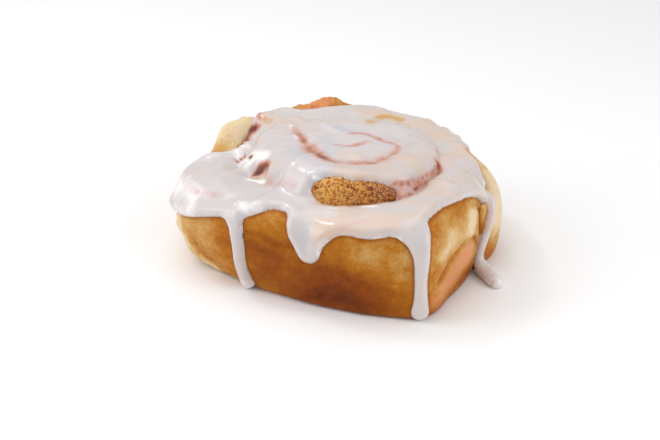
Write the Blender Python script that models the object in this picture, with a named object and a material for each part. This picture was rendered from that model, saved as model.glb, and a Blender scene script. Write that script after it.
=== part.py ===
"""Cinnamon roll: one strip of dough wound into a spiral, cinnamon filling between its coils, icing poured over the top.

Metres, +Z up. The roll stands on Z = 0 with the middle of its box over the origin. The eye of the spiral is at EYE, and
every shape below is worked out round it. A place along the strip is counted in turns from +X, clockwise seen from above,
so that the strip starts in the eye at TURN_START and its tail ends outside at TURN_END.
"""

import bmesh
import bpy
import numpy as np
from mathutils.bvhtree import BVHTree

MM = 0.001
TAU = 2 * np.pi

# Where the eye stands over the origin, and how fine the solids are
EYE = np.array((4.25, 2.86)) * MM
STATIONS_PER_TURN = 32
SHEET_CELLS = 32
SHEET_FINENESS = 4
DRIP_SIDES = 8

# The strip of dough
TURN_START = -0.75
TURN_END = 3 + 2 / STATIONS_PER_TURN
TURN_OUTSIDE = TURN_END - 1
SLIT = 1.4 * MM
EYE_DEPTH = 4.0 * MM
DOME_ANGLES = np.array((90.0, 68, 45, 22, 0, -30, -60, -90))
GROOVE_DEPTH_EYE = 1.6 * MM
GROOVE_DEPTH = 4.6 * MM
OUTER_SHOULDER = 11.0 * MM
DOME_WIDTH_POWER = 2.4
DOME_HEIGHT_POWER = 2.0
BELLY_HEIGHT = 15.0 * MM
FOOT_ROUNDING = 1.6 * MM

# Distance from the eye to the seam between two coils, along the strip
SEAM_TURNS = np.array(
    (-1.75, -1.5, -1.25, -1.0, -0.75, -0.5, -0.25, 0.0, 0.25, 0.38, 0.5, 0.6, 0.75, 1.0, 1.25, 1.38, 1.5, 1.6, 1.75, 2.0)
)
SEAM_RADII = MM * np.array(
    (0.9, 1.6, 2.3, 3.0, 3.8, 8.0, 5.5, 13.9, 14.6, 13.8, 16.8, 23.5, 25.0, 25.0, 32.0, 31.8, 33.0, 34.0, 36.5, 38.0)
)

# The roll's own outline round the eye: two flattened sides meet in a corner at the front right, and the tail thins out
OUTLINE_TURNS = np.array(
    (2.04, 2.106, 2.153, 2.188, 2.23, 2.28, 2.327, 2.389, 2.435, 2.465, 2.5)
    + (2.583, 2.64, 2.75, 2.833, 2.89, 2.93, 2.97, 3.0, 3.03, 3.0625)
)
OUTLINE_RADII = MM * np.array(
    (39.0, 43.0, 47.4, 53.2, 49.5, 45.3, 44.0, 47.2, 52.0, 55.0, 55.5)
    + (51.0, 48.5, 45.5, 45.0, 44.0, 43.5, 45.3, 47.0, 45.8, 42.5)
)

# Height of the strip's crest along the strip
CREST_TURNS = np.array(
    (-0.75, -0.25, 0.25, 0.75, 1.0, 1.25, 1.5, 1.75, 2.0, 2.12, 2.25, 2.4, 2.5)
    + (2.56, 2.6, 2.64, 2.69, 2.72, 2.76, 2.82, 2.92, 3.07)
)
CREST_HEIGHTS = MM * np.array(
    (33.5, 34.5, 35.0, 35.5, 34.5, 35.5, 34.5, 34.0, 31.5, 31.5, 29.0, 27.0, 26.5)
    + (28.0, 31.5, 34.5, 35.5, 35.0, 32.0, 29.0, 25.0, 21.0)
)

# How far the foot of the outer side is drawn in under the belly: everywhere a little, and most on the left
UNDERCUT = 1.5 * MM
UNDERCUT_LEFT = 5.0 * MM
UNDERCUT_LEFT_TURN = 0.46
UNDERCUT_LEFT_WIDTH = 0.10

# The filling, and the face of the second coil that it coats where the icing leaves it bare
FILLING_THICKNESS = 0.8 * MM
CLEARANCE = 0.3 * MM
FILLING_FOOT = 0.6 * MM
FILLING_RISE = 78.0
FILLING_RISE_BARE = 38.0
FILLING_RISE_GROWN = 8.0 / MM
BARE_TURN = 1.255
BARE_HALF_TURN = 0.07

# The icing: a sheet over the dough, worked out along rays from a core point under the eye. A ray's lean is its angle
# from the vertical, in degrees. The sheet's edge runs at EDGE_LEANS.
CORE_HEIGHT = 8.0 * MM
RAY_LENGTH = 90.0 * MM
SHALLOWEST = 24.7 * MM
ICING_THICKNESS = 1.8 * MM
ICING_BEAD = 2.6 * MM
ICING_ROOT = 2.4 * MM
EDGE_TURNS = np.array(
    (0.0, 0.02, 0.04, 0.057, 0.08, 0.104, 0.142, 0.163, 0.175, 0.187, 0.197, 0.208, 0.218, 0.24, 0.271)
    + (0.282, 0.294, 0.306, 0.317, 0.326, 0.335, 0.355, 0.367, 0.377, 0.388, 0.4, 0.42, 0.431, 0.45, 0.465)
    + (0.5, 0.515, 0.525, 0.535, 0.545, 0.56, 0.583, 0.606, 0.633, 0.667, 0.703, 0.728, 0.756, 0.795, 0.82)
    + (0.848, 0.875, 0.903, 0.93, 0.96, 0.985, 1.0)
)
EDGE_LEANS = np.array(
    (69.5, 72.0, 75.0, 72.5, 67.0, 64.3, 63.4, 64.1, 65.3, 69.0, 73.0, 71.8, 70.0, 70.5, 69.9)
    + (72.0, 74.5, 76.5, 75.0, 69.5, 65.8, 65.4, 67.5, 69.7, 75.0, 73.5, 75.3, 77.0, 79.7, 81.0)
    + (80.5, 77.5, 73.0, 66.5, 63.5, 62.2, 61.2, 59.5, 56.3, 53.9, 52.9, 53.6, 59.2, 69.0, 67.0)
    + (71.5, 68.5, 74.5, 69.0, 65.5, 67.0, 69.5)
)

# The opening that shows the filling: its middle and half sizes along and across the coil
OPENING_TURN = 0.255
OPENING_LEAN = 53.0
OPENING_HALF_LENGTH = 12.0 * MM
OPENING_HALF_WIDTH = 4.0 * MM

# Drips: turn and height where each leaves the sheet, turn and height of its tip, half width at top, waist and tip
DRIPS = (
    (0.391, 23.0, 0.3835, 2.9, 3.4, 1.9, 2.3),
    (0.308, 24.0, 0.306, 17.8, 6.5, 4.8, 3.4),
    (0.198, 26.0, 0.196, 2.7, 3.6, 1.9, 2.4),
    (0.790, 29.0, 0.795, 9.0, 3.4, 2.0, 2.2),
    (0.845, 27.0, 0.850, 18.0, 3.6, 2.8, 2.4),
    (0.905, 24.5, 0.900, 12.0, 3.4, 1.9, 2.3),
)
DRIP_HALF_THICKNESS = 1.9 * MM
DRIP_ROUNDS = 3

# The drip that runs down over the tail's end and out over the floor: turn, distance from the eye, height, half width
FOOT_DRIP = np.array(
    (
        (0.0340, 42.0, 23.0, 3.0),
        (0.0400, 44.0, 20.8, 2.2),
        (0.0480, 44.6, 18.4, 1.9),
        (0.0560, 44.2, 15.5, 1.8),
        (0.0620, 43.2, 12.5, 1.8),
        (0.0655, 42.0, 9.0, 1.8),
        (0.0665, 41.3, 6.0, 1.9),
        (0.0680, 41.3, 3.2, 2.2),
        (0.0765, 43.5, 1.8, 2.6),
        (0.0855, 46.5, 1.6, 2.7),
        (0.0935, 49.5, 1.6, 2.5),
        (0.0955, 50.7, 1.3, 1.3),
    )
)


def curve_through(places, values, at):
    """Cubic curve through the values, whose slope at each one comes from its two neighbours."""
    places, values, at = (np.asarray(a, float) for a in (places, values, at))
    slopes = np.gradient(values, places)
    i = np.clip(np.searchsorted(places, at) - 1, 0, len(places) - 2)
    span = places[i + 1] - places[i]
    s = np.clip((at - places[i]) / span, 0, 1)
    rise = values[i] * (1 + 2 * s) * (1 - s) ** 2 + values[i + 1] * s**2 * (3 - 2 * s)
    lean = slopes[i] * s * (1 - s) ** 2 - slopes[i + 1] * s**2 * (1 - s)
    return rise + lean * span


def turns_between(turn, centre):
    """Turns from a place round the eye to another, counted the short way round."""
    return (np.asarray(turn) - centre + 0.5) % 1.0 - 0.5


def seam(turn):
    return curve_through(SEAM_TURNS, SEAM_RADII, turn)


def crest(turn):
    return curve_through(CREST_TURNS, CREST_HEIGHTS, turn)


def groove(turn):
    """Level of the groove on the seam at this turn: a groove's depth below the lower of the two coils."""
    deep = np.clip((turn - TURN_START) / 1.0, 0, 1)
    depth = GROOVE_DEPTH_EYE + (GROOVE_DEPTH - GROOVE_DEPTH_EYE) * deep
    return np.minimum(crest(turn), crest(turn + 1)) - depth


def coil(turn):
    """The strip at this turn: its inner and outer side, crest, and how far each shoulder drops below the crest."""
    turn = np.asarray(turn, float)
    outside = turn > TURN_OUTSIDE
    inner = seam(turn - 1) + SLIT / 2
    outer = np.where(outside, curve_through(OUTLINE_TURNS, OUTLINE_RADII, turn), seam(turn) - SLIT / 2)
    top = crest(turn)
    first = turn - 1 < TURN_START
    drop_in = np.where(first, EYE_DEPTH, top - groove(np.maximum(turn - 1, TURN_START)))
    drop_out = np.where(outside, OUTER_SHOULDER, top - groove(np.minimum(turn, TURN_OUTSIDE)))
    return inner, outer, top, drop_in, drop_out


def dome(angle, inner, outer, top, drop_in, drop_out):
    """Top of the strip, a rounded arch: angle -90 is the inner shoulder, 0 the crest and 90 the outer shoulder."""
    sine, cosine = np.sin(np.radians(angle)), np.cos(np.radians(angle))
    side = np.sign(sine) * np.abs(sine) ** (2 / DOME_WIDTH_POWER)
    drop = np.where(sine < 0, drop_in, drop_out)
    r = (inner + outer) / 2 + (outer - inner) / 2 * side
    z = top - drop * (1 - np.abs(cosine) ** (2 / DOME_HEIGHT_POWER))
    return r, z


def undercut(turn):
    """How far the foot of the outer side stands in from the belly."""
    return UNDERCUT + UNDERCUT_LEFT * np.exp(-((turns_between(turn, UNDERCUT_LEFT_TURN) / UNDERCUT_LEFT_WIDTH) ** 2))


def wall(turn, outer, z):
    """Distance from the eye to the roll's outer side at height z: drawn in below the belly, as a parabola."""
    below = np.clip(1 - z / BELLY_HEIGHT, 0, 1)
    return outer - undercut(turn) * below**2


def at(turn, r, z):
    """Points round the eye, clockwise from +X."""
    angle = TAU * np.asarray(turn)
    x = EYE[0] + r * np.cos(angle)
    y = EYE[1] - r * np.sin(angle)
    return np.stack(np.broadcast_arrays(x, y, z), axis=-1)


def stations(first, last):
    """Places along the strip, the same round the eye for every coil, so that neighbouring coils run parallel."""
    step = 1.0 / STATIONS_PER_TURN
    inside = np.arange(np.ceil(first / step + 0.3), np.floor(last / step - 0.3) + 1) * step
    return np.concatenate([[first], inside, [last]])


def dough_section(turn, grow=0.0):
    """Closed outline of the strip at each turn: floor, outer side, dome, inner side. grow swells it on every side."""
    turn = np.asarray(turn, float)[:, None]
    inner, outer, top, drop_in, drop_out = coil(turn)
    inner, outer, top = inner - grow, outer + grow, top + grow
    outside = turn > TURN_OUTSIDE
    shoulder = top - drop_out
    heights = shoulder * np.array((0.0, FOOT_ROUNDING / (18 * MM), 0.33, 0.66))
    side_r = np.where(outside, wall(turn, outer, heights), outer + 0 * heights)
    side_r[:, :1] -= FOOT_ROUNDING / 2 * outside
    heights[:, 0] -= grow
    dome_r, dome_z = dome(DOME_ANGLES, inner, outer, top, drop_in, drop_out)
    back_z = (top - drop_in) * np.array((0.5, 0.0))
    back_r = inner + 0 * back_z
    back_z[:, 1] -= grow
    return np.hstack([side_r, dome_r, back_r]), np.hstack([heights, dome_z, back_z])


def filling_section(turn, grow=0.0):
    """Closed outline of the filling at each turn: a coat on the coil's outer side, from its foot to over its shoulder."""
    turn = np.asarray(turn, float)[:, None]
    inner, outer, top, drop_in, drop_out = coil(np.minimum(turn, TURN_OUTSIDE))
    share = np.linspace(0, 1, 4)
    bare = np.clip(1 - ((turn - BARE_TURN) / BARE_HALF_TURN) ** 4, 0, 1)
    rise = FILLING_RISE + (FILLING_RISE_BARE - FILLING_RISE) * bare - FILLING_RISE_GROWN * grow
    angles = 90 + (rise - 90) * share
    near_r, near_z = dome(angles, inner, outer, top, drop_in, drop_out)
    step_r, step_z = dome(angles - 1.0, inner, outer, top, drop_in, drop_out)
    along_r, along_z = step_r - near_r, step_z - near_z
    length = np.hypot(along_r, along_z)
    out_r, out_z = along_z / length, -along_r / length
    out_r[:, 0], out_z[:, 0] = 1.0, 0.0
    near, far = CLEARANCE - grow, CLEARANCE + FILLING_THICKNESS + grow
    foot = FILLING_FOOT - grow
    coat_r, coat_z = near_r + out_r * near, near_z + out_z * near
    face_r, face_z = near_r + out_r * far, near_z + out_z * far
    r = np.hstack([coat_r[:, :1], face_r[:, :1], face_r, coat_r[:, ::-1]])
    z = np.hstack([0 * coat_z[:, :1] + foot, 0 * face_z[:, :1] + foot, face_z, coat_z[:, ::-1]])
    return r, z


def mesh_object(name, points, faces, colour=None, roughness=0.5):
    """An object with one mesh and one plain material."""
    mesh = bpy.data.meshes.new(name)
    mesh.from_pydata(np.asarray(points).reshape(-1, 3).tolist(), [], faces)
    mesh.validate()
    obj = bpy.data.objects.new(name, mesh)
    bpy.context.scene.collection.objects.link(obj)
    if colour:
        material = bpy.data.materials.new(name)
        material.use_nodes = True
        shader = material.node_tree.nodes["Principled BSDF"]
        shader.inputs["Base Color"].default_value = (*colour, 1.0)
        shader.inputs["Roughness"].default_value = roughness
        shader.inputs["Metallic"].default_value = 0.0
        mesh.materials.append(material)
    return obj


def tube_faces(rows, around):
    """Quads of a tube with closed ends, whose rows of points go round the same way."""
    faces = []
    for i in range(rows - 1):
        for j in range(around):
            k = (j + 1) % around
            faces.append((i * around + j, i * around + k, (i + 1) * around + k, (i + 1) * around + j))
    faces.append(tuple(range(around))[::-1])
    faces.append(tuple((rows - 1) * around + j for j in range(around)))
    return faces


def point_outwards(obj):
    """Turns the faces outwards, and splits them into triangles the same way each run."""
    work = bmesh.new()
    work.from_mesh(obj.data)
    bmesh.ops.recalc_face_normals(work, faces=work.faces)
    bmesh.ops.triangulate(work, faces=work.faces)
    work.to_mesh(obj.data)
    work.free()


def smooth(obj):
    obj.data.shade_smooth()
    obj.data.set_sharp_from_angle(angle=np.radians(50))


def spiral(name, section, first, last, colour=None, roughness=0.5, grow=0.0):
    """A solid swept along the spiral from one turn to another, and a little further where it is grown."""
    turns = stations(first, last)
    turns[0] -= grow / (TAU * seam(first))
    turns[-1] += grow / (TAU * seam(last))
    r, z = section(turns, grow)
    obj = mesh_object(name, at(turns[:, None], r, z), tube_faces(*r.shape), colour, roughness)
    point_outwards(obj)
    smooth(obj)
    return obj


def rays(cells):
    """Turn, lean and the edge's lean for a square grid, whose square rings are opened out up to the icing's edge."""
    side = np.linspace(-1, 1, cells + 1)
    u, v = np.meshgrid(side, side, indexing="ij")
    flat = np.abs(u) >= np.abs(v)
    near, far = np.where(flat, v, u), np.where(flat, u, v)
    eighth = np.divide(near, far, out=np.zeros_like(far), where=far != 0) / 8
    turn = np.where(flat, eighth, 0.25 - eighth) + np.where(far < 0, 0.5, 0.0)
    turn = turn % 1.0
    edge = curve_through(EDGE_TURNS, EDGE_LEANS, turn)
    return turn, np.maximum(np.abs(u), np.abs(v)) * edge, edge


def along_ray(turn, lean, distance):
    """Points at a distance from the core."""
    angle = np.radians(lean)
    return at(turn, distance * np.sin(angle), CORE_HEIGHT + distance * np.cos(angle))


def reach(solid, turn, lean):
    """Distance from the core to the solid's outermost surface along each ray, or to a plug where it meets a slit."""
    tree = BVHTree.FromObject(solid, bpy.context.evaluated_depsgraph_get())
    starts = along_ray(turn, lean, RAY_LENGTH).reshape(-1, 3)
    core = np.append(EYE, CORE_HEIGHT)
    found = [tree.ray_cast(start.tolist(), (core - start).tolist())[3] or RAY_LENGTH for start in starts]
    return np.maximum(RAY_LENGTH - np.array(found).reshape(turn.shape), SHALLOWEST)


def neighbours(field):
    """The field moved by one cell each way."""
    wide = np.pad(field, [(1, 1), (1, 1)] + [(0, 0)] * (field.ndim - 2), mode="edge")
    rows, columns = field.shape[:2]
    return np.stack([wide[i : i + rows, j : j + columns] for i in range(3) for j in range(3)])


def filled_grooves(field):
    """The field with its narrow hollows filled and then softened, as icing runs into them."""
    for pick in (np.max, np.max, np.min, np.min, np.mean, np.mean):
        field = pick(neighbours(field), axis=0)
    return field


def outward_normals(points):
    """Directions square to the surface through a grid of points, softened."""
    normals = np.cross(np.gradient(points, axis=1), np.gradient(points, axis=0))
    normals /= np.linalg.norm(normals, axis=2)[..., None]
    for _ in range(3):
        normals = np.mean(neighbours(normals), axis=0)
    normals /= np.linalg.norm(normals, axis=2)[..., None]
    return normals * np.sign(normals[len(normals) // 2, len(normals) // 2, 2])


def inside_edge(turn, lean, edge, distance):
    """How far each point of the sheet lies inside the icing's edge; negative in the opening."""
    from_rim = distance * np.radians(edge - lean)
    along = distance * np.sin(np.radians(lean)) * TAU * turns_between(turn, OPENING_TURN)
    across = distance * np.radians(lean - OPENING_LEAN)
    beyond = np.maximum(np.abs(along) - (OPENING_HALF_LENGTH - OPENING_HALF_WIDTH), 0)
    from_opening = np.hypot(beyond, across) - OPENING_HALF_WIDTH
    return np.minimum(from_rim, from_opening)


def snapped(points, depth):
    """Moves points just outside the edge onto it, along the line to their deepest neighbour; says which are in use."""
    rows, columns = depth.shape
    moved = points.copy()
    used = depth > 0
    for i in range(rows):
        for j in range(columns):
            if depth[i, j] > 0:
                continue
            near = [(max(i - 1, 0) + a, max(j - 1, 0) + b) for a in range(3) for b in range(3)]
            near = [(a, b) for a, b in near if a < rows and b < columns]
            best = max(near, key=lambda k: depth[k])
            if depth[best] > 0:
                share = depth[best] / (depth[best] - depth[i, j])
                moved[i, j] = points[best] + share * (points[i, j] - points[best])
                used[i, j] = True
    return moved, used


def sheet(name, solid, colour, roughness):
    """The poured icing, rooted inside the dough: a skin over the filled grooves, thinning out at its edge."""
    turn, lean, edge = rays(SHEET_CELLS * SHEET_FINENESS)
    distance = filled_grooves(reach(solid, turn, lean))
    middle = along_ray(turn, lean, distance)
    depth = inside_edge(turn, lean, edge, distance)
    normals = outward_normals(middle)
    middle, depth, normals = (a[::SHEET_FINENESS, ::SHEET_FINENESS] for a in (middle, depth, normals))
    round_edge = np.sqrt(1 - (1 - np.clip(depth / ICING_BEAD, 0, 1)) ** 2)
    upper, used = snapped(middle + normals * ICING_THICKNESS * round_edge[..., None], depth)
    lower, used = snapped(middle - normals * ICING_ROOT, depth)
    count = depth.size
    number = np.arange(count).reshape(depth.shape)
    faces = []
    for i in range(SHEET_CELLS):
        for j in range(SHEET_CELLS):
            corners = ((i, j), (i + 1, j), (i + 1, j + 1), (i, j + 1))
            if all(used[c] for c in corners) and any(depth[c] > 0 for c in corners):
                cell = tuple(int(number[c]) for c in corners)
                faces.append(cell)
                faces.append(tuple(k + count for k in cell[::-1]))
    edges = {(face[k - 1], face[k]) for face in faces if face[0] < count for k in range(4)}
    for a, b in edges:
        if (b, a) not in edges:
            faces.append((b, a, a + count, b + count))
    points = np.vstack([upper.reshape(-1, 3), lower.reshape(-1, 3)])
    obj = mesh_object(name, points, sorted(faces), colour, roughness)
    work = bmesh.new()
    work.from_mesh(obj.data)
    loose = [v for v in work.verts if not v.link_faces]
    bmesh.ops.delete(work, geom=loose, context="VERTS")
    work.to_mesh(obj.data)
    work.free()
    point_outwards(obj)
    return obj


def on_side(solid, turn, z):
    """Points on the solid's outer side at these turns and heights."""
    tree = BVHTree.FromObject(solid, bpy.context.evaluated_depsgraph_get())
    starts = at(turn, RAY_LENGTH, z)
    return np.array([tree.ray_cast(start.tolist(), (*(EYE - start[:2]).tolist(), 0.0))[0][:] for start in starts])


def tube(name, path, half_width, half_thickness):
    """A round or flattened tube along a path over the roll's side, no part of it below the floor."""
    path = np.asarray(path)
    ahead = np.gradient(path, axis=0)
    ahead /= np.linalg.norm(ahead, axis=1)[:, None]
    outwards = path - np.append(EYE, 0)
    outwards[:, 2] = 0.0
    outwards[-3:, 2] += np.abs(ahead[-3:, :2]).max() * np.linalg.norm(outwards[-3:], axis=1)
    across = np.cross(ahead, outwards)
    across /= np.linalg.norm(across, axis=1)[:, None]
    outwards = np.cross(across, ahead)
    angle = TAU * (np.arange(DRIP_SIDES) + 0.5) / DRIP_SIDES
    ring = across[:, None] * np.cos(angle)[None, :, None] * np.asarray(half_width)[:, None, None]
    ring = ring + outwards[:, None] * np.sin(angle)[None, :, None] * np.asarray(half_thickness)[:, None, None]
    points = path[:, None] + ring
    points[..., 2] = np.maximum(points[..., 2], 0.0)
    obj = mesh_object(name, points, tube_faces(*points.shape[:2]))
    point_outwards(obj)
    return obj


def drip(name, solid, top_turn, top_height, tip_turn, tip_height, top_width, waist_width, tip_width):
    """A drip down the roll's side: it narrows from the sheet to its waist, swells to its tip and ends round."""
    run = np.array((0.0, 0.25, 0.5, 0.75, 1.0))
    turn = top_turn + (tip_turn - top_turn) * run
    z = MM * (top_height + (tip_height - top_height) * run)
    width = MM * np.interp(run, (0, 0.4, 0.75, 1), (top_width, waist_width, waist_width, tip_width))
    thickness = np.full(len(run), DRIP_HALF_THICKNESS)
    bend = np.sin(np.radians(90.0 * np.arange(1, DRIP_ROUNDS + 1) / (DRIP_ROUNDS + 0.4)))
    turn = np.append(turn, np.full(DRIP_ROUNDS, tip_turn))
    z = np.append(z, z[-1] - MM * min(tip_width, 2.4) * bend)
    width = np.append(width, width[-1] * np.sqrt(1 - bend**2))
    thickness = np.append(thickness, thickness[-1] * np.sqrt(1 - bend**2))
    return tube(name, on_side(solid, turn, z), width, thickness)


def foot_drip(name):
    """The drip that reaches the floor at the tail's end and runs out over it."""
    turn, r, z, half_width = FOOT_DRIP.T
    path = at(turn, r * MM, z * MM)
    return tube(name, path, half_width * MM, np.minimum(half_width * MM, DRIP_HALF_THICKNESS))


def cut_or_join(obj, operation, others):
    """One Boolean with other objects, applied; the others are removed."""
    group = bpy.data.collections.new(operation)
    for other in others:
        group.objects.link(other)
    change = obj.modifiers.new(operation, "BOOLEAN")
    change.operation = operation
    change.operand_type = "COLLECTION"
    change.collection = group
    change.solver = "EXACT"
    bpy.context.view_layer.update()
    changed = obj.evaluated_get(bpy.context.evaluated_depsgraph_get())
    mesh = bpy.data.meshes.new_from_object(changed)
    obj.modifiers.clear()
    obj.data = mesh
    for other in others:
        bpy.data.objects.remove(other, do_unlink=True)
    bpy.data.collections.remove(group)


def keep_largest_piece(obj):
    """Removes the scraps that a cut leaves beside the main piece."""
    work = bmesh.new()
    work.from_mesh(obj.data)
    pieces = []
    seen = set()
    for face in work.faces:
        if face in seen:
            continue
        piece = [face]
        seen.add(face)
        for one in piece:
            for edge in one.edges:
                for other in edge.link_faces:
                    if other not in seen:
                        seen.add(other)
                        piece.append(other)
        pieces.append(piece)
    pieces.sort(key=len)
    for piece in pieces[:-1]:
        bmesh.ops.delete(work, geom=piece, context="FACES")
    work.to_mesh(obj.data)
    work.free()


def icing(solid):
    """The sheet with its drips, cut to clear the dough and the filling."""
    obj = sheet("icing", solid, (0.88, 0.84, 0.84), 0.25)
    drips = [drip(f"drip_{i}", solid, *sizes) for i, sizes in enumerate(DRIPS)]
    cut_or_join(obj, "UNION", drips + [foot_drip("foot_drip")])
    swollen_dough = spiral("swollen_dough", dough_section, TURN_START, TURN_END, grow=CLEARANCE)
    swollen_filling = spiral("swollen_filling", filling_section, TURN_START, TURN_OUTSIDE, grow=CLEARANCE)
    cut_or_join(obj, "DIFFERENCE", [swollen_dough, swollen_filling])
    keep_largest_piece(obj)
    point_outwards(obj)
    smooth(obj)
    return obj


def clear_scene():
    for obj in list(bpy.data.objects):
        bpy.data.objects.remove(obj, do_unlink=True)


clear_scene()
dough = spiral("dough", dough_section, TURN_START, TURN_END, (0.62, 0.36, 0.13), 0.6)
filling = spiral("filling", filling_section, TURN_START, TURN_OUTSIDE, (0.22, 0.07, 0.02), 0.4)
icing(dough)
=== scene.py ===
"""Cinnamon roll with poured icing: the visible pieces, laid over its solids.

Metres, +Z up, the roll standing on Z = 0. Everything is worked out round the eye of its spiral. A place along
the strip of dough is a number of turns from +X, clockwise seen from above. Every surface is a grid of points
from a formula in the turn and one more parameter.
"""

import bmesh
import bpy
import numpy as np
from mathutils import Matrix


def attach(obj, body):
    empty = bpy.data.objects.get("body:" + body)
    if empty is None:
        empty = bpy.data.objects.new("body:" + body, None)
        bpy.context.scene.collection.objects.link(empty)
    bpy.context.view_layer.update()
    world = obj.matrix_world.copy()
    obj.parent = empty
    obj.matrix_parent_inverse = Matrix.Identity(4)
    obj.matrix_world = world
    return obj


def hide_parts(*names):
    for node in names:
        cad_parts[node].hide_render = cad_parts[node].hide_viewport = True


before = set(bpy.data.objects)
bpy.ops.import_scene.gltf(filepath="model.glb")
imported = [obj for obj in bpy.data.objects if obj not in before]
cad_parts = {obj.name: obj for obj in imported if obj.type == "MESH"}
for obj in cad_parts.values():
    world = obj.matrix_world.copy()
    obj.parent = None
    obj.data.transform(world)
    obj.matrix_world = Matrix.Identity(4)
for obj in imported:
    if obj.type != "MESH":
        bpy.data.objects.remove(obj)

bl_info = {
    "name": "Cinnamon Roll",
    "version": (1, 0, 0),
    "blender": (4, 5, 0),
    "location": "3D Viewport > Sidebar > Cinnamon Roll",
    "description": "Builds a baked cinnamon roll with its filling, poured icing and drips",
    "category": "Add Mesh",
}

MM = 0.001
TAU = 2 * np.pi
BODY = "root"

# The eye of the spiral, the strip's two ends, and the slit between its coils
EYE = np.array((4.25, 2.86)) * MM
EYE_ON_FLOOR = np.append(EYE, 0)
TURN_START = -0.75
TURN_END = 3.0625
TURN_OUTSIDE = TURN_END - 1
SLIT = 1.4 * MM
EYE_DEPTH = 4.0 * MM
GROOVE_DEPTH_EYE = 1.6 * MM
GROOVE_DEPTH = 4.6 * MM
OUTER_SHOULDER = 11.0 * MM
DOME_WIDTH_POWER = 2.4
BELLY_HEIGHT = 15.0 * MM
FOOT_ROUNDING = 1.6 * MM
UNDERCUT = 1.5 * MM
UNDERCUT_LEFT = 5.0 * MM
UNDERCUT_LEFT_TURN = 0.46
UNDERCUT_LEFT_WIDTH = 0.10

# Distance from the eye to the seam between two coils, along the strip
SEAM_TURNS = np.array(
    (-1.75, -1.5, -1.25, -1.0, -0.75, -0.5, -0.25, 0.0, 0.25, 0.38)
    + (0.5, 0.6, 0.75, 1.0, 1.25, 1.38, 1.5, 1.6, 1.75, 2.0)
)
SEAM_RADII = MM * np.array(
    (0.9, 1.6, 2.3, 3.0, 3.8, 8.0, 5.5, 13.9, 14.6, 13.8)
    + (16.8, 23.5, 25.0, 25.0, 32.0, 31.8, 33.0, 34.0, 36.5, 38.0)
)

# The roll's outline round the eye
OUTLINE_TURNS = np.array(
    (2.04, 2.106, 2.153, 2.188, 2.23, 2.28, 2.327, 2.389, 2.435, 2.465, 2.5)
    + (2.583, 2.64, 2.75, 2.833, 2.89, 2.93, 2.97, 3.0, 3.03, 3.0625)
)
OUTLINE_RADII = MM * np.array(
    (39.0, 43.0, 47.4, 53.2, 49.5, 45.3, 44.0, 47.2, 52.0, 55.0, 55.5)
    + (51.0, 48.5, 45.5, 45.0, 43.8, 43.0, 44.3, 45.5, 44.9, 42.3)
)

# Height of the strip's crest along the strip
CREST_TURNS = np.array(
    (-0.75, -0.25, 0.25, 0.75, 1.0, 1.25, 1.5, 1.75, 2.0, 2.12, 2.25, 2.4, 2.5)
    + (2.56, 2.6, 2.64, 2.67, 2.69, 2.705, 2.72, 2.74, 2.77, 2.82, 2.92, 3.07)
)
CREST_HEIGHTS = MM * np.array(
    (33.5, 34.5, 35.0, 35.5, 34.5, 35.5, 34.5, 34.0, 31.5, 31.5, 29.0, 27.0, 26.5)
    + (27.5, 30.2, 31.8, 32.4, 34.2, 35.5, 34.8, 32.8, 31.0, 29.0, 25.0, 21.0)
)

# The icing is worked out along rays from a core point under the eye. A ray's lean is its angle from upright.
CORE_HEIGHT = 8.0 * MM
RAY_START = 15 * MM
RAY_LENGTH = 62.0 * MM
RAY_STEP = 1.0 * MM
RAY_HALVINGS = 15
FURTHEST_LEAN = 100.0
SIDE_START = 20 * MM
SIDE_STEP = 0.1 * MM

# The icing's edge without its drips
EDGE_TURNS = np.array(
    (0.0, 0.015, 0.03, 0.043, 0.06, 0.08, 0.104, 0.142, 0.163, 0.175, 0.187, 0.197, 0.208, 0.218, 0.24, 0.271)
    + (0.282, 0.294, 0.303, 0.314, 0.324, 0.335, 0.355, 0.367, 0.377, 0.388, 0.4, 0.42, 0.431, 0.45, 0.465)
    + (0.5, 0.515, 0.525, 0.535, 0.548, 0.565, 0.578, 0.596, 0.609, 0.625, 0.645, 0.662, 0.672, 0.682)
    + (0.7, 0.72, 0.735, 0.756, 0.795, 0.82, 0.848, 0.875, 0.903, 0.92, 0.94, 0.965, 0.985, 1.0)
)
EDGE_LEANS = np.array(
    (58.0, 62.0, 68.0, 72.5, 71.5, 67.0, 64.3, 63.4, 64.1, 65.3, 67.0, 69.0, 71.0, 70.0, 70.5, 69.9)
    + (71.5, 72.5, 73.0, 71.5, 68.0, 65.4, 65.4, 67.5, 69.7, 71.0, 72.5, 75.3, 77.0, 79.7, 81.0)
    + (80.5, 77.5, 74.0, 71.5, 66.0, 64.0, 63.0, 62.8, 62.9, 62.9, 62.9, 61.5, 56.0, 53.0)
    + (52.4, 52.8, 54.5, 59.2, 67.0, 67.0, 69.5, 68.5, 69.5, 66.0, 59.0, 56.5, 56.5, 58.0)
)

# How many points each kind of path is drawn through
EDGE_POINTS = 561
DRIP_POINTS = 28
CREASE_POINTS = 20
FOLD_POINTS = 24
STREAK_POINTS = 26
OPENING_POINTS = 30
HOLE_POINTS = 24
FOOT_POINTS = 70

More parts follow.
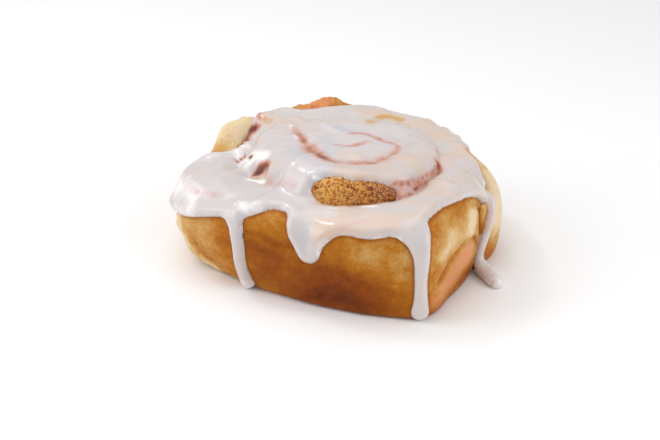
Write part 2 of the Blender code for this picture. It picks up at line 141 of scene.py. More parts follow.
# Drips: (turn, height in mm, half width in mm) from where each leaves the sheet to its tip
DRIPS = (
    ((0.397, 25.0, 3.6), (0.392, 22.5, 2.9), (0.388, 20.0, 2.4), (0.3855, 15.0, 2.1), (0.3855, 9.3, 2.1))
    + ((0.3845, 5.5, 2.3), (0.3835, 2.9, 2.5)),
    ((0.305, 25.0, 6.8), (0.3045, 22.5, 5.4), (0.3040, 20.5, 4.5), (0.3035, 19.0, 3.9), (0.303, 18.2, 3.5)),
    ((0.199, 27.0, 4.2), (0.198, 24.0, 3.1), (0.197, 20.0, 2.3), (0.197, 14.0, 1.9), (0.1965, 9.0, 1.9))
    + ((0.1962, 5.5, 2.2), (0.196, 3.0, 2.6)),
    ((0.030, 23.5, 2.6), (0.040, 22.0, 1.9), (0.047, 20.0, 1.7), (0.053, 17.5, 1.6), (0.0600, 14.5, 1.6))
    + ((0.0655, 11.5, 1.5), (0.0690, 8.0, 1.5), (0.0700, 5.0, 1.7)),
    ((0.790, 29.0, 3.4), (0.793, 20.0, 2.1), (0.795, 9.0, 2.3)),
    ((0.845, 27.0, 3.6), (0.850, 18.0, 2.6)),
    ((0.905, 24.5, 3.4), (0.902, 18.0, 2.0), (0.900, 12.0, 2.3)),
)

# The right-hand drip's end: turn, distance from the eye, height and half width, in mm
FOOT_DRIP = np.array(
    (
        (0.0575, 42.3, 15.8, 1.0),
        (0.0600, 42.6, 14.3, 1.5),
        (0.0650, 42.1, 11.4, 1.6),
        (0.0685, 41.5, 8.3, 1.5),
        (0.0700, 41.0, 5.5, 1.6),
        (0.0715, 41.3, 3.2, 2.0),
        (0.0780, 43.5, 1.9, 2.5),
        (0.0860, 46.5, 1.7, 2.6),
        (0.0935, 49.4, 1.6, 2.5),
        (0.0960, 50.4, 1.4, 1.9),
    )
)


def clamped(value):
    """The value held between 0 and 1."""
    return np.clip(value, 0, 1)


def bell(value):
    """The bell curve exp(-value^2): 1 at 0 and nearly 0 beyond 2."""
    return np.exp(-(value**2))


def curve_through(places, values, at):
    """Cubic curve through the values, whose slope at each one comes from its two neighbours."""
    places, values, at = (np.asarray(a, float) for a in (places, values, at))
    slopes = np.gradient(values, places)
    i = np.clip(np.searchsorted(places, at) - 1, 0, len(places) - 2)
    span = places[i + 1] - places[i]
    s = np.clip((at - places[i]) / span, 0, 1)
    rise = values[i] * (1 + 2 * s) * (1 - s) ** 2 + values[i + 1] * s**2 * (3 - 2 * s)
    lean = slopes[i] * s * (1 - s) ** 2 - slopes[i + 1] * s**2 * (1 - s)
    return rise + lean * span


def turns_between(turn, centre):
    """Turns from a place round the eye to another, counted the short way round."""
    return (np.asarray(turn) - centre + 0.5) % 1.0 - 0.5


def seam(turn):
    """Distance from the eye to the seam outside the strip at this turn."""
    return curve_through(SEAM_TURNS, SEAM_RADII, turn)


def crest(turn):
    """Height of the strip's crest at this turn."""
    return curve_through(CREST_TURNS, CREST_HEIGHTS, turn)


def groove(turn):
    """Level of the groove on the seam: a groove's depth below the lower of the two coils."""
    deep = clamped(turn - TURN_START)
    depth = GROOVE_DEPTH_EYE + (GROOVE_DEPTH - GROOVE_DEPTH_EYE) * deep
    return np.minimum(crest(turn), crest(turn + 1)) - depth


def coil(turn, slit=SLIT):
    """The strip at this turn: its inner and outer side, its crest, and how far each shoulder drops."""
    turn = np.asarray(turn, float)
    outside = turn > TURN_OUTSIDE
    inner = seam(turn - 1) + slit / 2
    outer = np.where(outside, curve_through(OUTLINE_TURNS, OUTLINE_RADII, turn), seam(turn) - slit / 2)
    top = crest(turn)
    first = turn - 1 < TURN_START
    drop_in = np.where(first, EYE_DEPTH, top - groove(np.maximum(turn - 1, TURN_START)))
    drop_out = np.where(outside, OUTER_SHOULDER, top - groove(np.minimum(turn, TURN_OUTSIDE)))
    return inner, outer, top, drop_in, drop_out


def dome(angle, inner, outer, top, drop_in, drop_out):
    """Top of the strip, a rounded arch: angle -90 is its inner shoulder, 0 its crest and 90 its outer one."""
    sine, cosine = np.sin(np.radians(angle)), np.cos(np.radians(angle))
    side = np.sign(sine) * np.abs(sine) ** (2 / DOME_WIDTH_POWER)
    drop = np.where(sine < 0, drop_in, drop_out)
    r = (inner + outer) / 2 + (outer - inner) / 2 * side
    z = top - drop * (1 - np.abs(cosine))
    return r, z


def wall(turn, outer, z):
    """Distance from the eye to the roll's outer side at height z: drawn in below the belly, as a parabola."""
    left = bell(turns_between(turn, UNDERCUT_LEFT_TURN) / UNDERCUT_LEFT_WIDTH)
    return outer - (UNDERCUT + UNDERCUT_LEFT * left) * clamped(1 - z / BELLY_HEIGHT) ** 2


def at(turn, r, z):
    """Points round the eye, clockwise from +X."""
    angle = TAU * np.asarray(turn)
    return np.stack(np.broadcast_arrays(EYE[0] + r * np.cos(angle), EYE[1] - r * np.sin(angle), z), axis=-1)


def place_of(points):
    """Turn round the eye and distance from it, for points."""
    away = points[..., :2] - EYE
    return (-np.arctan2(away[..., 1], away[..., 0]) / TAU) % 1.0, np.hypot(away[..., 0], away[..., 1])


def along_ray(turn, lean, distance):
    """Points at a distance from the core."""
    angle = np.radians(lean)
    return at(turn, distance * np.sin(angle), CORE_HEIGHT + distance * np.cos(angle))


def coils_at(turn):
    """All coils that pass each place round the eye, a row each: turns, a mark that says yes, and shape."""
    turns = np.asarray(turn)[None] + np.arange(-1, 4).reshape((-1,) + (1,) * np.ndim(turn))
    there = (turns >= TURN_START) & (turns <= TURN_END)
    turns = np.clip(turns, TURN_START, TURN_END)
    return turns, there, coil(turns, slit=0.0)


def inside_dough(coils, r, z):
    """True below the dome and within the sides of one of the coils. The dome is as high as its crest less its
    drop times 1 - sqrt(1 - |u| ** 2.4), where u runs from -1 to 1 across the coil."""
    turns, there, (inner, outer, top, drop_in, drop_out) = coils
    u = (r - (inner + outer) / 2) / ((outer - inner) / 2)
    drop = np.where(u < 0, drop_in, drop_out)
    height = top - drop * (1 - np.sqrt(clamped(1 - np.abs(u) ** DOME_WIDTH_POWER)))
    side = np.where(turns > TURN_OUTSIDE, wall(turns, outer, z), outer)
    return (there & (r >= inner) & (r <= side) & (z <= height)).any(axis=0)


def reach(turn, lean):
    """Distance from the core to the outermost dough along each ray: a march outwards, then halvings."""
    turn, lean = np.broadcast_arrays(np.asarray(turn, float), np.asarray(lean, float))
    coils = coils_at(turn)
    sine, cosine = np.sin(np.radians(lean)), np.cos(np.radians(lean))
    far = np.full(turn.shape, RAY_START)
    for distance in np.arange(RAY_START, RAY_LENGTH, RAY_STEP):
        hit = inside_dough(coils, distance * sine, CORE_HEIGHT + distance * cosine)
        far = np.where(hit, distance, far)
    low, high = far, far + RAY_STEP
    for _ in range(RAY_HALVINGS):
        middle = (low + high) / 2
        hit = inside_dough(coils, middle * sine, CORE_HEIGHT + middle * cosine)
        low, high = np.where(hit, middle, low), np.where(hit, high, middle)
    return low


def on_dough(turn, lean):
    """Points on the dough's outer surface along these rays."""
    return along_ray(turn, lean, reach(turn, lean))


def on_side(turn, z):
    """Points on the roll's outer side at these turns and heights."""
    turn, z = np.broadcast_arrays(np.asarray(turn, float) % 1.0, np.asarray(z, float))
    coils = coils_at(turn)
    r = np.full(turn.shape, SIDE_START)
    for step in np.arange(SIDE_START, RAY_LENGTH, SIDE_STEP):
        r = np.where(inside_dough(coils, step, z), step, r)
    return at(turn, r, z)


def hashed(cell, seed):
    """A number from 0 to 1 for each whole-numbered cell of space, always the same for the same seed."""
    whole = cell.astype(np.int64)
    mixed = whole[..., 0] * 73856093 ^ whole[..., 1] * 19349663 ^ whole[..., 2] * 83492791 ^ seed * 2654435761
    mixed = (mixed ^ (mixed >> 13)) * 1274126177 & 0x7FFFFFFF
    mixed = (mixed ^ (mixed >> 16)) * 668265263 & 0x7FFFFFFF
    return (mixed ^ (mixed >> 15)) / 0x7FFFFFFF


def noise(points, size, seed):
    """Smooth noise from -1 to 1: hashed values at each cell's corners, blended with 3s^2 - 2s^3 per axis."""
    place = points / size + 1000.0
    corner = np.floor(place)
    s = place - corner
    s = s * s * (3 - 2 * s)
    total = np.zeros(points.shape[:-1])
    for offset in np.ndindex(2, 2, 2):
        weight = np.prod(np.where(np.array(offset) == 1, s, 1 - s), axis=-1)
        total += weight * hashed(corner + offset, seed)
    return 2 * total - 1


def layered(points, *layers):
    """Noises added up, each given as its amount, its size in mm and its seed."""
    return sum(amount * noise(points, size * MM, seed) for amount, size, seed in layers)


def gap_to_path(points, path, widths=0.0):
    """Shortest distance from each point to a line through the path's points, less its half width there."""
    path = np.asarray(path)
    widths = np.broadcast_to(widths, len(path))
    gap = np.full(points.shape[:-1], 1.0)
    for a, b, wide_a, wide_b in zip(path[:-1], path[1:], widths[:-1], widths[1:]):
        along = b - a
        s = np.clip((points - a) @ along / (along @ along), 0, 1)
        away = np.linalg.norm(points - a - s[..., None] * along, axis=-1) - (wide_a + (wide_b - wide_a) * s)
        gap = np.minimum(gap, away)
    return gap


def larger(a, b, blend):
    """The larger of two fields, blended round where they are close."""
    h = np.clip(blend - np.abs(a - b), 0, None) / blend
    return np.maximum(a, b) + h * h * blend / 4


def resampled(rows, count):
    """The same path with evenly spread points, every column along a smooth curve."""
    rows = np.asarray(rows, float)
    places = np.arange(len(rows))
    even = np.linspace(0, len(rows) - 1, count)
    return np.stack([curve_through(places, column, even) for column in rows.T], axis=1)


def side_path(rows, count):
    """A path over the roll's side through rows of turn and height in mm, and their other columns along it."""
    turn, z, *others = resampled(rows, count).T
    return on_side(turn, z * MM), *others


def plan_path(rows, count):
    """A path seen from above through rows of turn and distance from the eye in mm."""
    turn, r = resampled(rows, count).T
    return at(turn, r * MM, 0.0)[:, :2]


def drip_paths():
    """Each drip's path over the roll's side and its half widths."""
    sides = (side_path(rows, DRIP_POINTS) for rows in DRIPS)
    return [(path, half_width * MM) for path, half_width in sides]


def edge_lean(turn):
    """Lean of the icing's edge at this turn."""
    return curve_through(EDGE_TURNS, EDGE_LEANS, np.asarray(turn) % 1.0)


def edge_path():
    """The icing's edge without its drips, as a closed path of points."""
    turn = np.linspace(0, 1, EDGE_POINTS)
    return on_dough(turn % 1.0, edge_lean(turn))


def grid_normals(points, wrap=False):
    """Directions square to a grid's surface, whose columns may close in a ring, from its slopes."""
    if wrap:
        wide = np.concatenate([points[:, -1:], points, points[:, :1]], axis=1)
        across = (wide[:, 2:] - wide[:, :-2]) / 2
    else:
        across = np.gradient(points, axis=1)
    normals = np.cross(np.gradient(points, axis=0), across)
    return normals / np.maximum(np.linalg.norm(normals, axis=-1, keepdims=True), 1e-12)


def tube_quads(rows, around):
    """The quads of a grid that closes on itself along its columns."""
    i, j = np.meshgrid(np.arange(rows - 1) * around, np.arange(around), indexing="ij")
    k = (j + 1) % around
    return np.stack([i + j, i + k, i + around + k, i + around + j], axis=-1).reshape(-1, 4)


def capped(points, turns):
    """A tube's points and turns with one row more at either end, drawn together to a point, and its quads."""
    rows, around = points.shape[:2]
    ends = [np.broadcast_to(points[row].mean(axis=0), (1, around, 3)) for row in (0, -1)]
    closed = np.concatenate([ends[0], points, ends[1]])
    return closed, np.pad(turns, ((1, 1), (0, 0)), mode="edge"), tube_quads(rows + 2, around)


def piece_from(name, points, quads, marks=None):
    """A piece from points, quads and numbers per point, its doubles merged and its faces turned outwards."""
    mesh = bpy.data.meshes.new(name)
    points = np.ascontiguousarray(points, dtype=np.float32).reshape(-1, 3)
    quads = np.ascontiguousarray(quads, dtype=np.int32)
    mesh.vertices.add(len(points))
    mesh.vertices.foreach_set("co", points.ravel())
    mesh.loops.add(quads.size)
    mesh.loops.foreach_set("vertex_index", quads.ravel())
    mesh.polygons.add(len(quads))
    mesh.polygons.foreach_set("loop_start", np.arange(0, quads.size, quads.shape[1], dtype=np.int32))
    mesh.update(calc_edges=True)
    for mark, values in (marks or {}).items():
        layer = mesh.attributes.new(mark, "FLOAT", "POINT")
        layer.data.foreach_set("value", np.ascontiguousarray(values, dtype=np.float32).ravel())
    work = bmesh.new()
    work.from_mesh(mesh)
    bmesh.ops.remove_doubles(work, verts=work.verts, dist=1e-7)
    bmesh.ops.delete(work, geom=[v for v in work.verts if not v.link_faces], context="VERTS")
    bmesh.ops.recalc_face_normals(work, faces=work.faces)
    work.to_mesh(mesh)
    work.free()
    mesh.shade_smooth()
    obj = bpy.data.objects.new(name, mesh)
    bpy.context.scene.collection.objects.link(obj)
    return obj


# Folds and dents in the top: (turn, distance from the eye) along each, its depth and half width, in mm
FOLDS = (
    (
        ((0.618, 42.5), (0.6, 40), (0.583, 38.3), (0.562, 37), (0.537, 35.2), (0.51, 36.7), (0.498, 38.6)),
        1.5,
        2.2,
    ),
    (((0.470, 33.6), (0.455, 32.2), (0.440, 31.4), (0.415, 31.0), (0.395, 30.3)), 1.3, 1.9),
    (((0.520, 48.0), (0.495, 49.9), (0.472, 49.3), (0.450, 47.2), (0.425, 46.5), (0.408, 44.5)), 0.9, 2.4),
)
# Swellings of the dough: turn, distance from the eye, height and half width in mm
BUMPS = ((0.573, 46.0, 3.6, 4.2), (0.590, 45.5, 3.4, 4.2), (0.610, 45.5, 2.6, 3.8), (0.455, 49.0, 0.6, 5.0))
# Creases in the side, and torn edges that stand up: (turn, height) along each, its depth, half width and
# bake.
# Along a crease the bake darkens the crust as painted shade; on the torn edge it is negative, for its paler
# crumb.
CREASES = (
    (((0.375, 19.9), (0.366, 20.1), (0.353, 19.5), (0.338, 18.2), (0.322, 19.0)), 0.60, 0.9, 0.20),
    (((0.375, 15.8), (0.362, 15.3), (0.345, 14.6)), 0.25, 1.3, 0.07),
    (
        ((0.085, 11.5), (0.092, 13.2), (0.099, 14.5), (0.129, 15.9))
        + ((0.149, 14.9), (0.161, 13.9), (0.176, 11.0)),
        1.0,
        0.8,
        0.30,
    ),
    (((0.070, 14.0), (0.066, 17.5), (0.070, 21.0), (0.084, 23.6), (0.105, 25.2)), 0.5, 1.1, 0.16),
    (((0.480, 22.0), (0.474, 14.0), (0.468, 8.0), (0.455, 4.0), (0.432, 1.6)), -1.1, 1.5, -0.70),
    (((0.215, 8.0), (0.240, 10.5), (0.268, 13.5), (0.290, 13.0)), 0.2, 1.6, 0.05),
)
LUMPS = ((0.42, 13.0, 1), (0.20, 6.0, 2), (0.10, 2.8, 3))
# The craggy ear and ridge: turn, half width in turns, distance from the eye where it begins in mm, and height
CRAGS = ((0.612, 0.045, 38.0, 0.65), (0.705, 0.045, 34.0, 1.15))
CRAG_NOISE = ((1.0, 4.2, 11), (0.6, 2.0, 12), (0.35, 1.0, 13))
# The torn crumb low on the left
CRUMB_TURN = 0.452
CRUMB_WIDTH = 0.016
CRUMB_HEIGHT = 11 * MM
CRUMB_REACH = 6 * MM
CRUMB_SIZE = 1.4 * MM
# Folds fade in over these heights, and swellings from this height on
FOLD_FADE = (20 * MM, 4 * MM)
BUMP_FADE = 20 * MM


def side_lines():
    """Each crease's path over the roll's side, with its depth, half width and bake."""
    return [(side_path(rows, CREASE_POINTS)[0], *amounts) for rows, *amounts in CREASES]


def lumps(points):
    """Height of the dough's unevenness over its plain shape: lumps, folds in the top, swellings, creases."""
    raised = layered(points, *LUMPS)
    plan, z = points[..., :2], points[..., 2]
    for rows, depth, half_width in FOLDS:
        away = gap_to_path(plan, plan_path(rows, FOLD_POINTS)) / (half_width * MM)
        raised -= depth * bell(away) * clamped((z - FOLD_FADE[0]) / FOLD_FADE[1])
    for turn, r, height, half_width in BUMPS:
        away = np.linalg.norm(plan - at(turn, r * MM, 0.0)[:2], axis=-1) / (half_width * MM)
        raised += height * bell(away) * clamped(z / BUMP_FADE - 0.4)
    for path, depth, half_width, _ in side_lines():
        away = gap_to_path(points, path) / (half_width * MM)
        raised -= depth * bell(away) * (1 + 0.5 * noise(points, 2.4 * MM, 4))
    return raised * MM


def rough(points):
    """Extra roughness of the ear, of the ridge behind and of the torn crumb low on the left."""
    turn, r = place_of(points)
    craggy = 0
    for place, wide, start, height in CRAGS:
        craggy += height * bell(turns_between(turn, place) / wide) * clamped((r - start * MM) / (3 * MM))
    crumb = bell(turns_between(turn, CRUMB_TURN) / CRUMB_WIDTH)
    crumb = crumb * bell((points[..., 2] - CRUMB_HEIGHT) / CRUMB_REACH)
    return MM * (craggy * layered(points, *CRAG_NOISE) + 0.55 * crumb * (noise(points, CRUMB_SIZE, 14) - 0.3))


# Rows of the strip's grid, far closer together on the outermost coil, which shows, and points of its outline
STRIP_TURNS = np.concatenate(
    [np.linspace(TURN_START, TURN_OUTSIDE - 0.02, 380), np.linspace(TURN_OUTSIDE - 0.017, TURN_END, 660)]
)
SIDE_POINTS = 24
DOME_POINTS = 46
BACK_POINTS = 7
# The strip's ends are rounded off over these angles, by this many turns
END_ANGLES = np.radians((15.0, 32.0, 48.0, 62.0, 74.0, 83.0))
END_REACH = 0.0075
# A row and column of the grid on top of the dome, where the normal points up
ON_DOME = (500, 40)
FOOT_FADE = 3 * MM


def strip_grid():
    """The strip's closed outline at each turn, its ends rounded off: outer side, dome, inner side, floor."""
    ends = len(END_ANGLES)
    turn = np.pad(STRIP_TURNS, ends, mode="edge")
    shift, thin = np.zeros(len(turn)), np.ones(len(turn))
    shift[-ends:], thin[-ends:] = END_REACH * np.sin(END_ANGLES), np.cos(END_ANGLES)
    shift[:ends], thin[:ends] = -shift[: -ends - 1 : -1], thin[: -ends - 1 : -1]
    t = turn[:, None]
    inner, outer, top, drop_in, drop_out = coil(t)
    middle, half = (inner + outer) / 2, (outer - inner) / 2 * thin[:, None]
    inner, outer = middle - half, middle + half
    outside = t > TURN_OUTSIDE
    side_z = (top - drop_out) * np.linspace(0, 1, SIDE_POINTS)
    side_r = np.where(outside, wall(t, outer, side_z), outer + 0 * side_z)
    rounding = clamped(1 - side_z / FOOT_ROUNDING)
    side_r -= FOOT_ROUNDING * (1 - np.sqrt(1 - rounding**2)) * outside
    dome_r, dome_z = dome(np.linspace(90, -90, DOME_POINTS)[1:], inner, outer, top, drop_in, drop_out)
    back_z = (top - drop_in) * np.linspace(1, 0, BACK_POINTS)[1:]
    back_r = inner + 0 * back_z
    floor_r = inner + (side_r[:, :1] - inner) * np.array((0.33, 0.67))
    r = np.hstack([side_r, dome_r, back_r, floor_r])
    z = np.hstack([side_z, dome_z, back_z, 0 * floor_r])
    return turn + shift, t + 0 * r, r, z


# Where the crust is baked dark or left pale: turn, height in mm, half width, half height and amount
BAKED = (
    (0.272, 7.5, 0.044, 8.0, 0.40),
    (0.235, 3.0, 0.034, 4.5, 0.20),
    (0.305, 2.5, 0.034, 5.0, 0.20),
    (0.350, 24.0, 0.025, 3.5, -0.07),
    (0.345, 12.0, 0.050, 8.5, 0.27),
    (0.236, 19.0, 0.026, 3.6, -0.15),
    (0.205, 15.0, 0.014, 7.0, -0.08),
    (0.205, 21.5, 0.014, 2.5, -0.10),
    (0.430, 14.0, 0.022, 9.0, -0.10),
    (0.482, 12.0, 0.030, 12.0, -0.30),
    (0.165, 27.0, 0.024, 3.0, -0.09),
    (0.104, 20.5, 0.022, 5.5, -0.60),
    (0.150, 20.5, 0.026, 4.6, -0.30),
    (0.171, 18.5, 0.010, 2.2, -0.20),
    (0.135, 10.5, 0.030, 4.0, -0.16),
    (0.175, 5.5, 0.016, 5.0, -0.05),
    (0.112, 3.0, 0.022, 3.6, 0.34),
    (0.160, 1.0, 0.030, 2.0, 0.20),
    (0.020, 21.0, 0.045, 9.5, -0.66),
    (0.035, 12.0, 0.024, 4.0, -0.20),
    (0.055, 2.5, 0.020, 3.0, 0.12),
    (0.955, 20.0, 0.050, 9.0, -0.30),
    (0.700, 34.0, 0.045, 5.0, -0.04),
    (0.590, 29.0, 0.042, 8.5, -0.60),
    (0.700, 8.0, 0.120, 8.0, 0.16),
    (0.860, 8.0, 0.080, 8.0, 0.16),
)
# Where the crust is flushed salmon, given the same way
FLUSHED = (
    (0.122, 11.5, 0.024, 4.2, 0.95),
    (0.158, 8.0, 0.020, 4.0, 0.55),
    (0.180, 5.0, 0.014, 4.0, 0.35),
    (0.700, 34.0, 0.030, 4.0, 0.70),
)


# The bake of plain crust
BAKE = 0.46


def baked(points):
    """How dark the crust is, 0 being pale cream, 0.45 golden and 1 dark brown, and how far it is flushed."""
    turn, _ = place_of(points)
    fields = []
    for patches, start in ((BAKED, BAKE), (FLUSHED, 0.0)):
        field = np.full(turn.shape, start)
        for place, height, wide, high, amount in patches:
            up = (points[..., 2] - height * MM) / (high * MM)
            field += amount * np.exp(-((turns_between(turn, place) / wide) ** 2 + up**2))
        fields.append(field)
    # Creases darken the crust as painted shade; the torn edge's negative bake makes it paler
    for path, _, half_width, amount in side_lines():
        fields[0] += amount * bell(gap_to_path(points, path) / (half_width * MM))
    return fields


def dough_piece():
    """The strip swept along its spiral, each point of its outline moved along its normal by the lumps."""
    turn, strip, r, z = strip_grid()
    points = at(turn[:, None], r, z)
    normals = grid_normals(points, wrap=True)
    normals *= np.sign(normals[ON_DOME][2])
    lift = (lumps(points) + rough(points)) * clamped(z / FOOT_FADE)
    points = points + normals * lift[..., None]
    points[..., 2] = np.maximum(points[..., 2], 0.0)
    points, strip, quads = capped(points, strip)
    # Distance to the icing's edge and drips, where the crust is given a painted shade line
    line = gap_to_path(points, edge_path())
    for path, widths in drip_paths():
        line = np.minimum(line, np.abs(gap_to_path(points, path, widths)))
    bake, flush = baked(points)
    marks = {"bake": bake, "flush": flush, "edge_line": np.clip(line / MM, 0, 20), "coil": strip}
    return piece_from("dough_strip", points, quads, marks)


# The bare band of filling: how far the coat rises over the shoulders beside its groove, as dome angles
BAND_TURNS = (-0.75, 0.9, 1.08, 1.14, 1.20, 1.30, 1.335, 1.36, 1.40, 1.48, 1.54, 2.0625)
BAND_UP = (74.0, 74.0, 70.0, 34.0, 18.0, 16.0, 26.0, 55.0, 26.0, 26.0, 74.0, 74.0)
BAND_OVER = (80.0, 80.0, 76.0, 60.0, 48.0, 48.0, 56.0, 74.0, 50.0, 50.0, 80.0, 80.0)
COAT = 0.55 * MM
COAT_ROOT = 1.0 * MM
COAT_FOOT = 0.6 * MM
# Points over the near shoulder, and the stem under the coat: its depth below it and its sides in the slit
SHOULDER_POINTS = 30
STEM_DEPTH = 2.2 * MM
STEM_SIDES = (1.15 * MM, 0.25 * MM)
STEM_POINTS = 5
# The coat's lowest place on a shoulder, as a dome angle, and the rounds that soften its face
SHOULDER_FOOT = 86
COAT_ROUNDS = 6
COAT_NOISE = ((0.16, 0.8, 21), (0.12, 0.42, 22), (0.14, 2.0, 23))


def coat_face(turn):
    """The filling's visible face, over the coil's outer shoulder, through the groove and onto the next coil,
    and the directions square to it."""
    t = np.asarray(turn, float)[:, None]
    up, over = np.interp(t, BAND_TURNS, BAND_UP), np.interp(t, BAND_TURNS, BAND_OVER)
    share = np.linspace(0, 1, SHOULDER_POINTS)
    near = dome(up + (SHOULDER_FOOT - up) * share, *coil(t))
    far = dome((SHOULDER_FOOT - over) * share[::2] - SHOULDER_FOOT, *coil(t + 1))
    face = np.stack([np.hstack(sides) for sides in zip(near, far)])
    for _ in range(COAT_ROUNDS):
        face[:, :, 1:-1] = (face[:, :, :-2] + 2 * face[:, :, 1:-1] + face[:, :, 2:]) / 4
    slope_r, slope_z = np.gradient(face, axis=2)
    length = np.maximum(np.hypot(slope_r, slope_z), 1e-9)
    return *face, -slope_z / length, slope_r / length


def coat_turns():
    """Rows of the filling's grid, closest together on the bare band."""
    inner = np.linspace(TURN_START, 1.09, 110)
    band = np.arange(1.10, 1.352, 0.0016)
    left = np.arange(1.354, 1.50, 0.0028)
    return np.concatenate([inner, band, left, np.linspace(1.51, TURN_OUTSIDE, 40)])


def filling_piece():
    """A closed outline carried along the spiral: the face, its root in the dough, a stem down the slit."""
    turn = coat_turns()
    r, z, out_r, out_z = coat_face(turn)
    count = r.shape[1]
    taper = clamped(np.minimum(np.arange(count), np.arange(count)[::-1]) / 3) - 0.5
    t = turn[:, None]
    outer = coil(t)[1]
    low = z.min(axis=1)[:, None] - STEM_DEPTH
    stem_z = COAT_FOOT + (low - COAT_FOOT) * np.linspace(1, 0, STEM_POINTS)
    right, left = (outer + side + 0 * stem_z for side in STEM_SIDES)
    outline = []
    for face, out, down, up in ((r, out_r, right, left), (z, out_z, stem_z, stem_z[:, ::-1])):
        root = face - out * COAT_ROOT
        near, far = root[:, SHOULDER_POINTS - 1 :: -1], root[:, :SHOULDER_POINTS:-1]
        outline.append(np.hstack([face + out * COAT * taper, far, down, up, near]))
    points = at(t, *outline)
    lift = lumps(points) * clamped(points[..., 2] / (15 * MM) - 0.5)
    lift[:, :count] += layered(points[:, :count], *COAT_NOISE) * MM
    normal = at(t, out_r, out_z) - EYE_ON_FLOOR
    points[:, :count] += normal * lift[:, :count, None]
    points, strip, quads = capped(points, t + 0 * outline[0])
    return piece_from("filling_coat", points, quads, {"coil": strip})


# Grains of cinnamon and sugar that stick up out of the bare band
GRAIN_COUNT = 1500
GRAIN_START = 1.135
GRAIN_TURNS = 0.195
# A grain's half width is the first of these, and up to the second more
GRAIN_SIZES = (0.09 * MM, 0.15 * MM)
GRAIN_RISE = 0.6 * COAT
GOLDEN = (1 + 5**0.5) / 2
GRAIN_CORNERS = np.array(
    [(-1, GOLDEN, 0), (1, GOLDEN, 0), (-1, -GOLDEN, 0), (1, -GOLDEN, 0), (0, -1, GOLDEN), (0, 1, GOLDEN)]
    + [(0, -1, -GOLDEN), (0, 1, -GOLDEN), (GOLDEN, 0, -1), (GOLDEN, 0, 1), (-GOLDEN, 0, -1), (-GOLDEN, 0, 1)]
)
GRAIN_FACES = np.array(
    [(0, 11, 5), (0, 5, 1), (0, 1, 7), (0, 7, 10), (0, 10, 11), (1, 5, 9), (5, 11, 4), (11, 10, 2)]
    + [(10, 7, 6), (7, 1, 8), (3, 9, 4), (3, 4, 2), (3, 2, 6), (3, 6, 8), (3, 8, 9), (4, 9, 5)]
    + [(2, 4, 11), (6, 2, 10), (8, 6, 7), (9, 8, 1)]
)


def grains_piece():
    """Twenty-sided grains strewn over the band's face, each at a hashed place, with a size and stretch."""
    number = np.stack([np.arange(GRAIN_COUNT)] * 3, axis=-1)
    where, across, size, tone = (hashed(number, seed) for seed in (31, 32, 33, 34))
    turn = GRAIN_START + GRAIN_TURNS * where
    order = np.argsort(turn)
    turn, across, size, tone = turn[order], across[order], size[order], tone[order]
    face = coat_face(turn)
    column = 2 + across * (face[0].shape[1] - 6)
    low = column.astype(int)
    part = column - low
    rows = np.arange(GRAIN_COUNT)
    r, z, out_r, out_z = (field[rows, low] * (1 - part) + field[rows, low + 1] * part for field in face)
    centre = at(turn, r + out_r * GRAIN_RISE, z + out_z * GRAIN_RISE)
    centre += (at(turn, out_r, out_z) - EYE_ON_FLOOR) * lumps(centre)[:, None]
    half = GRAIN_SIZES[0] + GRAIN_SIZES[1] * size**2
    stretch = 0.7 + 0.6 * np.stack([hashed(number, seed) for seed in (35, 36, 37)], axis=-1)
    corners = GRAIN_CORNERS / np.linalg.norm(GRAIN_CORNERS[0])
    points = centre[:, None] + corners[None] * (half[:, None] * stretch)[:, None]
    faces = GRAIN_FACES[None] + len(corners) * np.arange(GRAIN_COUNT)[:, None, None]
    return piece_from("sugar_grains", points, faces.reshape(-1, 3), {"tone": np.repeat(tone, len(corners))})


# The opening over the band, as (turn, lean, half width in mm) along its middle
OPENING = (
    ((0.321, 52.6, 0.7), (0.312, 52.0, 2.6), (0.300, 51.9, 3.9), (0.285, 52.1, 4.1), (0.268, 52.4, 4.0))
    + ((0.250, 52.2, 3.8), (0.232, 52.4, 3.6), (0.216, 53.0, 3.3), (0.202, 53.6, 2.4))
)
# Where the icing is stretched thin over the band
THIN = (
    ((0.204, 53.6, 3.8), (0.187, 53.6, 3.7), (0.170, 53.4, 3.2), (0.156, 52.6, 3.0), (0.140, 51.6, 2.6))
    + ((0.122, 50.8, 1.8), (0.100, 50.0, 1.5), (0.078, 48.6, 1.1))
)

ICING_CELLS = 250
ICING_LAYER = 1.35 * MM
ICING_RIM = 2.15 * MM
ICING_BEAD = 2.1 * MM
ICING_ROOT = 1.0 * MM
ICING_SUNK = 0.15 * MM
THINNEST = 0.35 * MM
FILLET = 2.4 * MM
OPENING_FILLET = 0.8 * MM
# Cells across half a groove that the icing fills: near the opening and the edge, and elsewhere
FINE_GROOVE = 2
WIDE_GROOVE = 14
WIDE_ROUNDS = 18
# The icing follows the dough's grooves this near the opening, and from this lean on
FOLLOW_REACH = 3.0 * MM
FOLLOW_LEAN = 66
FOLLOW_FADE = 6
# The thick rim: how far it stays full inwards, how it fades, and how far it stays off the opening
RIM_WIDTH = 1.6 * MM
RIM_FADE = 2.2 * MM
RIM_CLEAR = 6 * MM
THIN_FADE = 1.6 * MM
THIN_SHARE = 0.55
LAYER_NOISE = ((0.28, 9.0, 61), (0.12, 3.5, 62))
# The craggy folds at the back left: turn, half width in turns, lean, half width in degrees
CRAGGY_TURN = 0.535
CRAGGY_WIDTH = 0.035
CRAGGY_LEAN = 62.0
CRAGGY_SPREAD = 6.0
CRAGGY_NOISE = ((0.45, 2.2, 63), (0.25, 1.1, 64))


